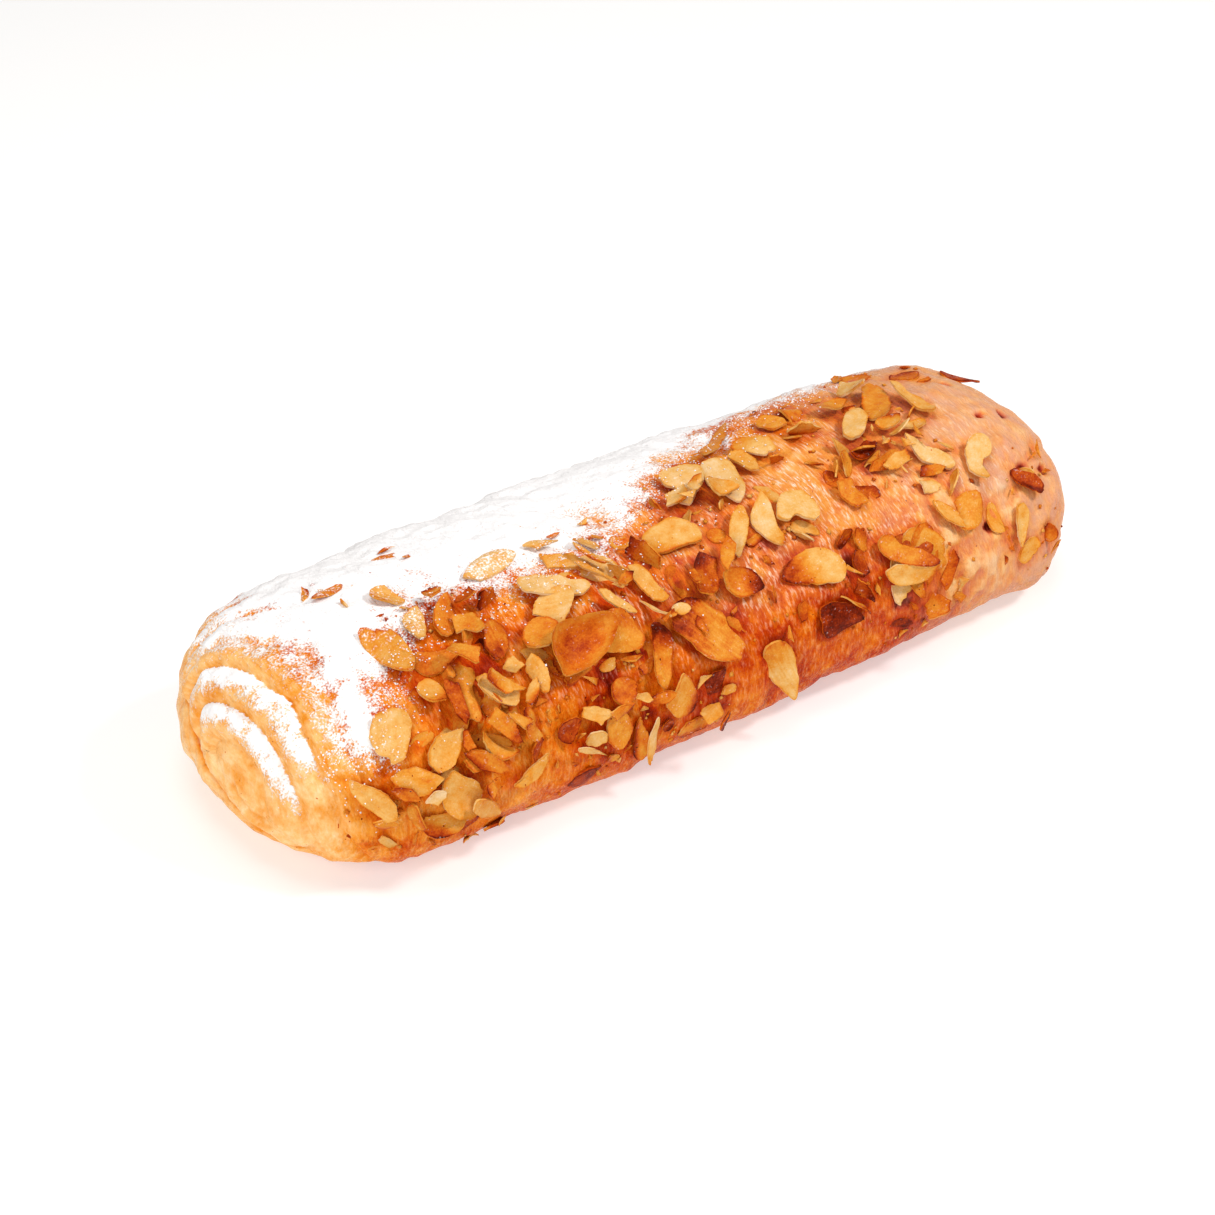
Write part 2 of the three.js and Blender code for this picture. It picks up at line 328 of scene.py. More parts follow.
def on_left_end(along, share):
    """1 on the left end's coil, 0 away from it."""
    return smoothstep(0.99, 0.9, share) * (along < 0)


def seam(over_seam):
    """1 on the seam under the left end's coil, 0 away from it."""
    return np.exp(-(over_seam / SEAM_WIDTH) ** 2)


def left_relief(along, around):
    """The coil on the left end, with its seam and the lip below it."""
    layer, _, over_seam, share = left_coil(along, around)
    on_left = on_left_end(along, share)
    core = CORE_HEIGHT + (1 - CORE_HEIGHT) * smoothstep(0.8, 1.3, layer)
    relief = BEAD_HEIGHT * (bead(layer) - BEAD_MEAN) * on_left * core * smoothstep(-1, 4, over_seam)
    relief -= SEAM_DEPTH * seam(over_seam) * smoothstep(0.97, 0.85, share) * (along < 0)
    return relief + LIP_HEIGHT * smoothstep(0, -4, over_seam) * on_left


def right_relief(along, around):
    """The coil on the right end, which bulges towards the front."""
    _, right, _, share = ends(along)
    front = share * np.sin(around) * WIDTH / 2 + RIGHT_COIL["front"]
    up = share * np.cos(around) * (HEIGHT - BELLY) + RIGHT_COIL["up"]
    turns = np.hypot(front, up) / RIGHT_COIL["pitch"] - np.arctan2(front, up) / (2 * np.pi)
    coil = RIGHT_COIL["height"] * (bead(turns) - BEAD_MEAN) * smoothstep(0.9, 0.72, share) * (along > 0)
    return coil + BULGE * smoothstep(0.0, 0.6, right) * np.cos(around - BULGE_TURN)


def spots(along, around, seen, core):
    """Uneven spots at some pixels: 1 in the core of a spot, 0 past its reach."""
    points = smooth_point(along, around)
    share = 0 * along
    ragged = SPOT_RAGGED * lattice(points, size=1.6, seed=41)
    for x, y, reach in seen:
        away = np.linalg.norm(points - smooth_point(*SIGHT.place(x, y)), axis=-1) / reach
        share = np.maximum(share, smoothstep(1.0, core, away + ragged))
    return share


def pits(along, around):
    """1 where something broke out of the crust, 0 elsewhere."""
    return spots(along, around, PITS, PIT_CORE)


def blisters(along, around):
    """Broken-up patches of blistered crust, from 0 to 1."""
    broken = smoothstep(-0.1, 0.4, lattice(smooth_point(along, around), size=4.0, seed=51))
    return spots(along, around, BLISTERS, BLISTER_CORE) * broken


def laid_flat(along, around):
    """Places on the crust as if it were unrolled on a table."""
    return np.stack([along, np.degrees(around) * ARC, 0 * along], -1)


def roll_relief(along, around):
    """How far the roll's surface stands out from its smooth form."""
    points = smooth_point(along, around)
    _, _, left_share, right_share = ends(along)
    relief = (LUMP_HEIGHT * np.sin(along / LUMP_LENGTH * 2 * np.pi) * np.cos(LUMP_TURNS * around)
              * left_share * right_share * np.clip(points[..., 2] / BELLY, 0, 1))
    relief += left_relief(along, around) + right_relief(along, around)
    relief += uneven(points, UNEVEN)
    wrinkles = lattice(laid_flat(along, around) * WRINKLE_STRETCH, size=1.7, seed=4)
    relief += WRINKLE_HEIGHT * wrinkles - PIT_DEPTH * pits(along, around)
    relief += BLISTER_HEIGHT * blisters(along, around)
    return relief * np.clip(points[..., 2] / FLAT_BASE, 0, 1)


def coil_sugar(along, around):
    """Sugar on the upper side of each layer of the left end's coil, and how far a place is on that end."""
    layer, angle, _, share = left_coil(along, around)
    number = np.floor(layer)
    s = layer - number
    upper = smoothstep(0.0, 0.9, s)
    outer = OUTER_SUGAR + OUTER_SUGAR * smoothstep(0.05, 0.4, s)
    banded = np.where(number > len(LAYER_SUGAR), outer, 0.0)
    for inner_number, amount in enumerate(LAYER_SUGAR, 1):
        banded = np.where(number == inner_number, amount * upper, banded)
    last = np.where(number >= 2, OUTER_SUGAR_END, INNER_SUGAR_END)
    banded = banded * smoothstep(-90, -50, angle)
    banded = banded * smoothstep(last + COIL_SUGAR_FADE, last - COIL_SUGAR_FADE, angle)
    banded = banded * (1 + uneven(smooth_point(along, around), COIL_PATCHES))
    return banded, smoothstep(1.0, 0.96, share) * (along < 0)


def sugar_cover(along, around):
    """How thickly icing sugar lies at a place, from 0 to 1."""
    degrees = np.degrees(around)
    inside = (np.interp(along, SUGAR_EDGE[:, 0], SUGAR_EDGE[:, 1]) - degrees) * ARC
    inside = inside + uneven(laid_flat(along, around), SUGAR_RAGGED)
    cover = smoothstep(-SUGAR_FADE, SUGAR_DEEP, inside) * smoothstep(-100, -60, degrees)
    banded, on_left = coil_sugar(along, around)
    cover = cover * (1 - on_left) + on_left * banded
    return cover * smoothstep(0.8, 0.97, ends(along)[3])


# Meshes

def mesh_piece(name, points, face_sets, fields, material, nodes=()):
    """A smooth-shaded mesh in the row frame from points in millimetres, riding on the one body."""
    mesh = bpy.data.meshes.new(name)
    mesh.vertices.add(len(points))
    mesh.vertices.foreach_set("co", (points * MM).astype(np.float32).ravel())
    corners = np.concatenate([faces.ravel() for faces in face_sets]).astype(np.int32)
    sizes = np.concatenate([np.full(len(faces), faces.shape[1]) for faces in face_sets])
    starts = np.concatenate([[0], np.cumsum(sizes)[:-1]]).astype(np.int32)
    mesh.loops.add(len(corners))
    mesh.loops.foreach_set("vertex_index", corners)
    mesh.polygons.add(len(sizes))
    mesh.polygons.foreach_set("loop_start", starts)
    mesh.polygons.foreach_set("use_smooth", np.ones(len(sizes), bool))
    mesh.update(calc_edges=True)
    for field, values in fields.items():
        kind = "FLOAT_VECTOR" if values.ndim == 2 else "FLOAT"
        attribute = mesh.attributes.new(field, kind, "POINT")
        key = "vector" if values.ndim == 2 else "value"
        attribute.data.foreach_set(key, values.astype(np.float32).ravel())
    if "rim" in fields:
        sharpen(mesh, fields["rim"])
    mesh.validate()
    mesh.materials.append(material)
    piece = bpy.data.objects.new(name, mesh)
    bpy.context.scene.collection.objects.link(piece)
    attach(piece, "root")
    if nodes:
        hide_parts(*nodes)


def sharpen(mesh, rim):
    """Makes the edges that follow one rim sharp: rim is 1 on an upper rim, 2 on a lower one, else 0."""
    edges = np.empty(2 * len(mesh.edges), np.int32)
    mesh.edges.foreach_get("vertices", edges)
    first, second = rim[edges[0::2]], rim[edges[1::2]]
    sharp = mesh.attributes.new("sharp_edge", "BOOLEAN", "EDGE")
    sharp.data.foreach_set("value", (first == second) & (first > 0))


class Heap:
    """Points, triangles and fields of many small things that become one mesh."""

    def __init__(self):
        self.points, self.faces, self.fields, self.count = [], [], {}, 0

    def add(self, points, faces, fields):
        self.points.append(points)
        self.faces.append(faces + self.count)
        self.count += len(points)
        for name, values in fields.items():
            self.fields.setdefault(name, []).append(values)

    def piece(self, name, material, slot):
        fields = {field: np.concatenate(parts) for field, parts in self.fields.items()}
        faces = [np.concatenate(self.faces)]
        mesh_piece(name, np.concatenate(self.points), faces, fields, material)


# Materials

def linear(red, green, blue):
    """A shader colour from eight-bit screen values."""
    values = np.array([red, green, blue]) / 255
    values = np.where(values <= 0.04045, values / 12.92, ((values + 0.055) / 1.055) ** 2.4)
    return (*values, 1.0)


class Shader:
    """A material's node tree, with short calls for the nodes used here."""

    def __init__(self, name):
        self.material = bpy.data.materials.new(name)
        self.material.use_nodes = True
        self.tree = self.material.node_tree
        self.surface = self.tree.nodes["Principled BSDF"]
        self.place = self.tree.nodes.new("ShaderNodeTexCoord").outputs["Object"]

    def link(self, source, target):
        self.tree.links.new(source, target)

    def feed(self, socket, value):
        if isinstance(value, bpy.types.NodeSocket):
            self.link(value, socket)
        else:
            socket.default_value = value

    def put(self, name, value):
        """Sets one of the surface's values."""
        self.feed(self.surface.inputs[name], value)

    def field(self, name, output="Fac"):
        node = self.tree.nodes.new("ShaderNodeAttribute")
        node.attribute_name = name
        return node.outputs[output]

    def math(self, operation, a, b):
        node = self.tree.nodes.new("ShaderNodeMath")
        node.operation = operation
        self.feed(node.inputs[0], a)
        self.feed(node.inputs[1], b)
        return node.outputs[0]

    def swing(self, value, weight):
        """A noise moved to swing about zero, times a weight."""
        return self.math("MULTIPLY", self.math("SUBTRACT", value, 0.5), weight)

    def noise(self, size, detail=2.0, where=None, stretch=None, roughness=0.5):
        """Noise from 0 to 1 with features of about the given size in millimetres."""
        where = where or self.place
        if stretch:
            mapping = self.tree.nodes.new("ShaderNodeMapping")
            mapping.inputs["Scale"].default_value = stretch
            self.link(where, mapping.inputs["Vector"])
            where = mapping.outputs["Vector"]
        node = self.tree.nodes.new("ShaderNodeTexNoise")
        node.inputs["Scale"].default_value = 1 / (size * MM)
        node.inputs["Detail"].default_value = detail
        node.inputs["Roughness"].default_value = roughness
        self.link(where, node.inputs["Vector"])
        return node.outputs["Fac"]

    def spread(self, value, low, high, to_low=0.0, to_high=1.0):
        node = self.tree.nodes.new("ShaderNodeMapRange")
        node.interpolation_type = "SMOOTHSTEP"
        for socket, number in zip(node.inputs[1:5], (low, high, to_low, to_high)):
            socket.default_value = number
        self.link(value, node.inputs["Value"])
        return node.outputs["Result"]

    def ramp(self, value, stops):
        node = self.tree.nodes.new("ShaderNodeValToRGB")
        points = node.color_ramp.elements
        while len(points) < len(stops):
            points.new(0.5)
        for point, (position, colour) in zip(points, stops):
            point.position = position
            point.color = linear(*colour)
        self.link(value, node.inputs["Fac"])
        return node.outputs["Color"]

    def mix(self, factor, a, b):
        node = self.tree.nodes.new("ShaderNodeMix")
        node.data_type = "RGBA"
        self.feed(node.inputs[0], factor)
        self.feed(node.inputs[6], a)
        self.feed(node.inputs[7], b)
        return node.outputs[2]

    def blend(self, factor, a, b):
        """A number between a and b."""
        node = self.tree.nodes.new("ShaderNodeMix")
        self.feed(node.inputs[0], factor)
        self.feed(node.inputs[2], a)
        self.feed(node.inputs[3], b)
        return node.outputs[0]

    def bump(self, height, depth, strength=1.0, under=None):
        node = self.tree.nodes.new("ShaderNodeBump")
        node.inputs["Distance"].default_value = depth * MM
        node.inputs["Strength"].default_value = strength
        self.link(height, node.inputs["Height"])
        if under:
            self.link(under, node.inputs["Normal"])
        return node.outputs["Normal"]


# Screen colours, and how rough and shiny each surface is
SUGAR_WHITE = (250, 247, 246)
GRAIN_WHITES = (246, 240, 237), (253, 251, 250)
# Pale colour painted on the crust's wrinkle ridges as painted highlights (glints)
PAINTED_GLINT = (252, 226, 204)
# A dull pinkish colour mixed over the crust as painted sheen
PAINTED_SHEEN_COLOUR = (213, 160, 133)
CRUST_STOPS = [
    (0.0, (250, 214, 156)), (0.2, (244, 182, 106)), (0.38, (234, 146, 44)), (0.55, (216, 102, 6)),
    (0.72, (186, 56, 0)), (0.86, (148, 32, 0)), (1.0, (98, 14, 0)),
]
ALMOND_STOPS = [
    (0.0, (227, 192, 144)), (0.2, (220, 168, 93)), (0.4, (214, 138, 44)), (0.58, (201, 100, 20)),
    (0.74, (166, 58, 9)), (0.88, (114, 28, 2)), (1.0, (66, 13, 0)),
]
CRUST_ROUGHNESS = (0.2, 0.4)
CRUST_SPECULAR = 0.045
ALMOND_ROUGHNESS = 0.42
ALMOND_SPECULAR = 0.05
SUGAR_ROUGHNESS = 0.95
GRAIN_ROUGHNESS = 0.9


def sugar_mask(shader):
    """Powdery sugar: whole where the sugar field is strong, breaking up into patches and single specks."""
    cover = shader.field("sugar")
    patches = shader.swing(shader.noise(size=2.6, detail=3.0, roughness=0.6), 1.7)
    grains = shader.swing(shader.noise(size=0.6, detail=2.0), 2.4)
    total = shader.math("ADD", shader.math("MULTIPLY", cover, 1.7), shader.math("ADD", patches, grains))
    broken = shader.spread(total, 0.4, 1.2)
    film = shader.spread(cover, 0.7, 1.0, 0.0, 0.5)
    mask = shader.math("MAXIMUM", broken, film)
    return shader.math("MULTIPLY", mask, shader.spread(cover, 0.0, 0.08))


def browned(shader, parts):
    """The toast field, varied by noises of the given weights and dotted with dark specks."""
    toast = shader.field("toast")
    for part, weight in parts:
        toast = shader.math("ADD", toast, shader.swing(part, weight))
    specks = shader.spread(shader.noise(size=0.9, detail=0.0), 0.84, 0.88)
    return shader.math("ADD", toast, shader.math("MULTIPLY", specks, 0.5))


def crust_material():
    """Egg-washed baked crust: browned, wrinkled and streaked round the roll, glossy, with painted glints on
    its wrinkle ridges, painted shade in their hollows, a painted pinkish sheen, and sugar on it.
    """
    shader = Shader("crust")
    around = shader.field("unrolled", "Vector")
    wrinkle = shader.noise(size=0.75, detail=4.0, where=around, stretch=(1.0, 0.24, 0.24), roughness=0.6)
    streak = shader.noise(size=2.6, detail=3.0, where=around, stretch=(1.0, 0.4, 0.4))
    blotch = shader.noise(size=5.0, detail=4.0, roughness=0.6)
    grain = shader.noise(size=0.5, detail=2.0)
    # The wrinkles make the crust paler on their ridges and browner in their hollows: painted highlight and
    # painted shade
    toast = browned(shader, ((wrinkle, -0.4), (streak, 0.26), (blotch, 0.5), (grain, 0.14)))
    sugar = sugar_mask(shader)
    # Painted highlights: pale glints mixed onto the wrinkle ridges
    ridges = shader.spread(wrinkle, 0.48, 0.72)
    glinted = shader.math("MULTIPLY", shader.field("painted_glints"), ridges)
    # Painted sheen: a dull pinkish haze mixed over the crust's colour
    soft = shader.math("MULTIPLY", shader.field("soft"), shader.spread(streak, 0.3, 0.7, 0.6, 1.3))
    colour = shader.mix(soft, shader.ramp(toast, CRUST_STOPS), linear(*PAINTED_SHEEN_COLOUR))
    colour = shader.mix(glinted, colour, linear(*PAINTED_GLINT))
    shader.put("Base Color", shader.mix(sugar, colour, linear(*SUGAR_WHITE)))
    gloss = shader.spread(shader.noise(size=3.0, detail=3.0), 0.3, 0.7, *CRUST_ROUGHNESS)
    shader.put("Roughness", shader.blend(sugar, gloss, SUGAR_ROUGHNESS))
    shader.put("Specular IOR Level", CRUST_SPECULAR)
    normal = shader.bump(shader.noise(size=2.4, detail=2.0), depth=0.5, strength=0.8)
    normal = shader.bump(wrinkle, depth=0.6, strength=1.0, under=normal)
    normal = shader.bump(sugar, depth=0.25, strength=0.7, under=normal)
    shader.put("Normal", normal)
    return shader.material


def almond_material():
    """Roasted flaked almond: mottled brown, finely grained, with sugar caught on top."""
    shader = Shader("almond")
    mottle = shader.noise(size=3.4, detail=4.0, roughness=0.6)
    grain = shader.noise(size=0.5, detail=2.0)
    lines = shader.noise(size=0.9, detail=2.0, where=shader.field("own", "Vector"))
    lined = shader.math("MULTIPLY", shader.swing(lines, -1.0), shader.field("lined"))
    # The cut edge is painted paler: the paler inside of the almond, and partly a painted highlight along the
    # edge
    edge = shader.spread(shader.field("rim"), 1.0, 1.3, 0.0, -0.25)
    toast = browned(shader, ((mottle, 0.58), (grain, 0.26)))
    toast = shader.math("ADD", toast, shader.math("ADD", lined, edge))
    sugar = sugar_mask(shader)
    colour = shader.ramp(toast, ALMOND_STOPS)
    shader.put("Base Color", shader.mix(sugar, colour, linear(*SUGAR_WHITE)))
    shader.put("Roughness", shader.spread(sugar, 0, 1, ALMOND_ROUGHNESS, SUGAR_ROUGHNESS))
    shader.put("Specular IOR Level", ALMOND_SPECULAR)
    normal = shader.bump(shader.noise(size=1.6, detail=2.0), depth=0.15, strength=0.6)
    normal = shader.bump(grain, depth=0.18, strength=0.7, under=normal)
    normal = shader.bump(lines, depth=0.3, strength=0.6, under=normal)
    shader.put("Normal", normal)
    return shader.material


def sugar_material():
    """Loose icing sugar: nearly white, a little uneven."""
    shader = Shader("icing_sugar")
    tint = shader.mix(shader.noise(size=2.0, detail=2.0), *(linear(*white) for white in GRAIN_WHITES))
    shader.put("Base Color", tint)
    shader.put("Roughness", GRAIN_ROUGHNESS)
    return shader.material


# The roll

DOME_SAMPLES = 4000
DOME_RADIUS = 0.45      # a usual radius of the section, as a share of its width
FINE_SHARE = 0.35       # how much closer together the points are on the finest side, and where that is
FINE_TURN = math.radians(25)
TIP_GAP = 0.01          # how far the last points lie inside the tips of the ends

# How brown the crust is, from 0 for pale to 1 for burnt, and how much darker or paler some parts of it are.
# The low front's extra brown and the pockets' brown are painted shade; the brown beside flakes is partly egg
# wash pooled there and partly painted shade.
TOAST = {
    "base": 0.5, "top": 0.03, "middle": -0.06, "low_front_shade": 0.11, "right": -0.17, "left_tip": -0.32,
    "upper_right": -0.07, "groove": 0.08, "seam": 0.4, "pit": 0.55, "pocket_shadow": 0.26, "blister": -0.34,
    "near": 0.14,
}
TOAST_PATCHES = ((0.1, 24.0, 21), (0.1, 8.0, 22))
# Painted glints on the crust: strength on the upper front and elsewhere, patchiness, and fade at the right
# end
PAINTED_GLINTS_UPPER, PAINTED_GLINTS_REST, PAINTED_GLINTS_PATCHES, PAINTED_GLINTS_FADE = 0.66, 0.12, 0.6, 0.45
# Painted sheen, a dull pinkish haze on the crust: its amount on the upper front and at the right end, and the
# share lost beside flakes
SHEEN_UPPER, SHEEN_RIGHT, SHEEN_LOST = 0.16, 0.62, 0.7     # the last is lost beside flakes


def dome_stations(end, step):
    """Distances from one end of the roll, evenly spaced over its dome and without the pole."""
    bend = np.linspace(0, np.pi / 2, DOME_SAMPLES)
    depth, share = np.cos(bend) ** (2 / end["power"]), np.sin(bend) ** (2 / end["power"])
    run = np.hypot(np.diff(depth * end["reach"]), np.diff(share * WIDTH * DOME_RADIUS))
    arc = np.append(0, np.cumsum(run))
    place = np.linspace(0, arc[-1], int(arc[-1] / step))[1:]
    return end["reach"] * (1 - np.interp(place, arc, depth))


def stations():
    """Places along the roll, evenly spaced over its surface."""
    left = dome_stations(LEFT, DOME_STEP) - HALF
    right = HALF - dome_stations(RIGHT, RIGHT_STEP)[::-1]
    barrel = np.arange(left[-1] + BARREL_STEP, right[0] - BARREL_STEP / 2, BARREL_STEP)
    return np.concatenate([left, barrel, right])


def roll_angles():
    """Angles around the roll, closer together on the upper front than underneath."""
    u = np.arange(COLUMNS) / COLUMNS * 2 * np.pi
    return u - FINE_SHARE * np.sin(u - FINE_TURN)


def grid_faces(rows, columns):
    """Quads between rings of points that follow one pole point, and the two fans at the poles."""
    ring, column = np.meshgrid(np.arange(rows - 1), np.arange(columns), indexing="ij")
    after = (column + 1) % columns
    here, ahead = 1 + ring * columns, 1 + (ring + 1) * columns
    quads = np.stack([here + column, here + after, ahead + after, ahead + column], -1).reshape(-1, 4)
    c = np.arange(columns)
    n = (c + 1) % columns
    last = 1 + rows * columns
    first_fan = np.stack([0 * c, 1 + n, 1 + c], -1)
    last_fan = np.stack([0 * c + last, last - columns + c, last - columns + n], -1)
    return [quads, first_fan, last_fan]


def wrap(angle):
    """The same angle between half a turn back and half a turn ahead."""
    return (angle + np.pi) % (2 * np.pi) - np.pi


def crust_toast(along, around, points):
    """How brown the crust is: darkest low on the front, where painted shade is added, paler on the upper
    right and at both ends, with painted shadow in pockets between flakes.
    """
    degrees = np.degrees(around)
    toast = TOAST["base"] + TOAST["top"] * smoothstep(-80, -30, degrees)
    middle = smoothstep(-70, -20, along) * smoothstep(96, 60, along)
    # Painted shade: the low front is browned more, to darken it
    toast += middle * (TOAST["low_front_shade"] * smoothstep(36, 60, degrees) + TOAST["middle"])
    toast += TOAST["right"] * smoothstep(60, 112, along) + TOAST["left_tip"] * smoothstep(-100, -124, along)
    upper_right = smoothstep(10, 50, along) * smoothstep(112, 80, along) * smoothstep(55, 30, degrees)
    toast += TOAST["upper_right"] * upper_right + uneven(points, TOAST_PATCHES)
    layer, _, over_seam, share = left_coil(along, around)
    grooves = TOAST["groove"] * (1 - bead(layer)) + TOAST["seam"] * seam(over_seam)
    toast += on_left_end(along, share) * grooves + TOAST["pit"] * pits(along, around)
    # Painted shadow: the pockets between flakes are browned to darken them
    toast += TOAST["pocket_shadow"] * spots(along, around, SHADED_POCKETS, SHADED_POCKET_CORE)
    return toast + TOAST["blister"] * blisters(along, around)


def crust_painted_glints(along, around, points):
    """How much painted highlight, as pale glints on the crust's wrinkle ridges, shows: most on the upper
    front, least at the right end.
    """
    degrees = np.degrees(around)
    upper = smoothstep(-20, 5, degrees) * smoothstep(72, 42, degrees) * smoothstep(-80, -40, along)
    painted_glints = PAINTED_GLINTS_UPPER * upper * (1 + PAINTED_GLINTS_PATCHES * lattice(points, size=9.0, seed=23)) + PAINTED_GLINTS_REST
    return painted_glints * smoothstep(126, 92, along) * (1 - PAINTED_GLINTS_FADE * smoothstep(60, 96, along))


def crust_painted_sheen(along, around, points):
    """How much painted sheen, a dull pinkish haze, lies on the crust: most at the right end, some on the
    upper front.
    """
    degrees = np.degrees(around)
    upper = smoothstep(-15, 15, degrees) * smoothstep(70, 40, degrees) * smoothstep(-30, 10, along)
    right = smoothstep(50, 112, along + 8 * lattice(points, size=12.0, seed=24))
    return (SHEEN_UPPER * upper * (1 - right) + SHEEN_RIGHT * right) * (1 - pits(along, around))


def make_roll(pile):
    """The baked roll, smoother beside flakes and browner there, partly as browned egg wash and partly as
    painted shade, with the sugar's thickness on it.
    """
    rows = stations()
    along, around = np.meshgrid(rows, wrap(roll_angles()), indexing="ij")
    poles = [np.array([HALF - TIP_GAP]) * sign for sign in (-1, 1)]
    along = np.concatenate([poles[0], along.ravel(), poles[1]])
    around = np.concatenate([[0.0], around.ravel(), [0.0]])
    smooth = smooth_point(along, around)
    sugar = sugar_cover(along, around)
    near = pile.nearness(along, around)
    relief = roll_relief(along, around)
    relief = relief - near * np.maximum(relief, 0)
    relief = relief + sugar * SUGAR_THICK * (1 + lattice(smooth, size=2.2, seed=5))
    points = smooth + outward(along, around) * relief[:, None]
    points[:, 2] = np.maximum(points[:, 2], 0)
    turned = math.degrees(ARC) * round_share(along)
    fields = {
        # Beside flakes the crust is browned: partly egg wash pooled there, partly painted shade under and
        # between the flakes
        "toast": crust_toast(along, around, smooth) + TOAST["near"] * near * (1 - sugar),
        # Painted glints, fewer beside flakes
        "painted_glints": crust_painted_glints(along, around, smooth) * (1 - near),
        # Painted sheen, weaker beside flakes
        "soft": crust_painted_sheen(along, around, smooth) * (1 - SHEEN_LOST * near),
        "sugar": sugar,
        "unrolled": np.stack([along, turned * np.cos(around), turned * np.sin(around)], -1) * MM,
    }
    faces = grid_faces(len(rows), COLUMNS)
    mesh_piece("roll", points, faces, fields, crust_material(), ["pastry_roll"])


# Flaked almonds

FLAKE_RINGS = np.array([0.4, 0.7, 0.86, 0.95, 1.0])
FLAKE_SIDES = 48
FLAKE_DARKEST = 0.92
FLAKE_THICKNESS = (0.55, 0.9)
NARROW_THICKNESS = (0.15, 0.09)     # a narrow flake's thickness: a fixed part, and a share of its width
RAGGED = 0.07           # unevenness of a large flake's rim
ROUND_RAGGED, SHARD_RAGGED = 0.026, 0.05    # of the smaller flakes' rims, as a share of their size
RIM_WAVES = range(2, 22)
RIM_WAVE_FADE = 0.7
TEETH = ((0.035, 11), (0.025, 19))          # height and number of the teeth along a break
ANY_ANGLE = 6.3         # about a full turn
TWIST = 0.06
RIPPLE = 0.16
CURL = 0.6
BEND_POWER = 1.6
RIM_SCORCH = 0.2
# How much darker a dished flake is towards its middle
DISH_DARKENING = 0.1
UNDER_SCORCH = 0.05
LINE_STRETCH = 0.06     # how little the lines on a flake change lengthways

# How brown each large flake is, in the order of their numbers: 0 is pale, 1 is burnt
TONES = [
    0.26, 0.08, 0.12, 0.24, 0.14, 0.16, 0.24, 0.88, 0.22, 0.46, 0.50, 0.62, 0.46,
    0.38, 0.40, 0.46, 0.44, 0.20, 0.14, 0.34, 0.22, 0.32, 0.34, 0.44, 0.22, 0.30,
    0.43, 0.20, 0.32, 0.27, 0.36, 0.34, 0.56, 0.44, 0.22, 0.54, 0.30, 0.48, 0.26,
    0.36, 0.42, 0.16, 0.14, 0.28, 0.44, 0.30, 0.44, 0.18, 0.16, 0.46, 0.48, 0.18,
]
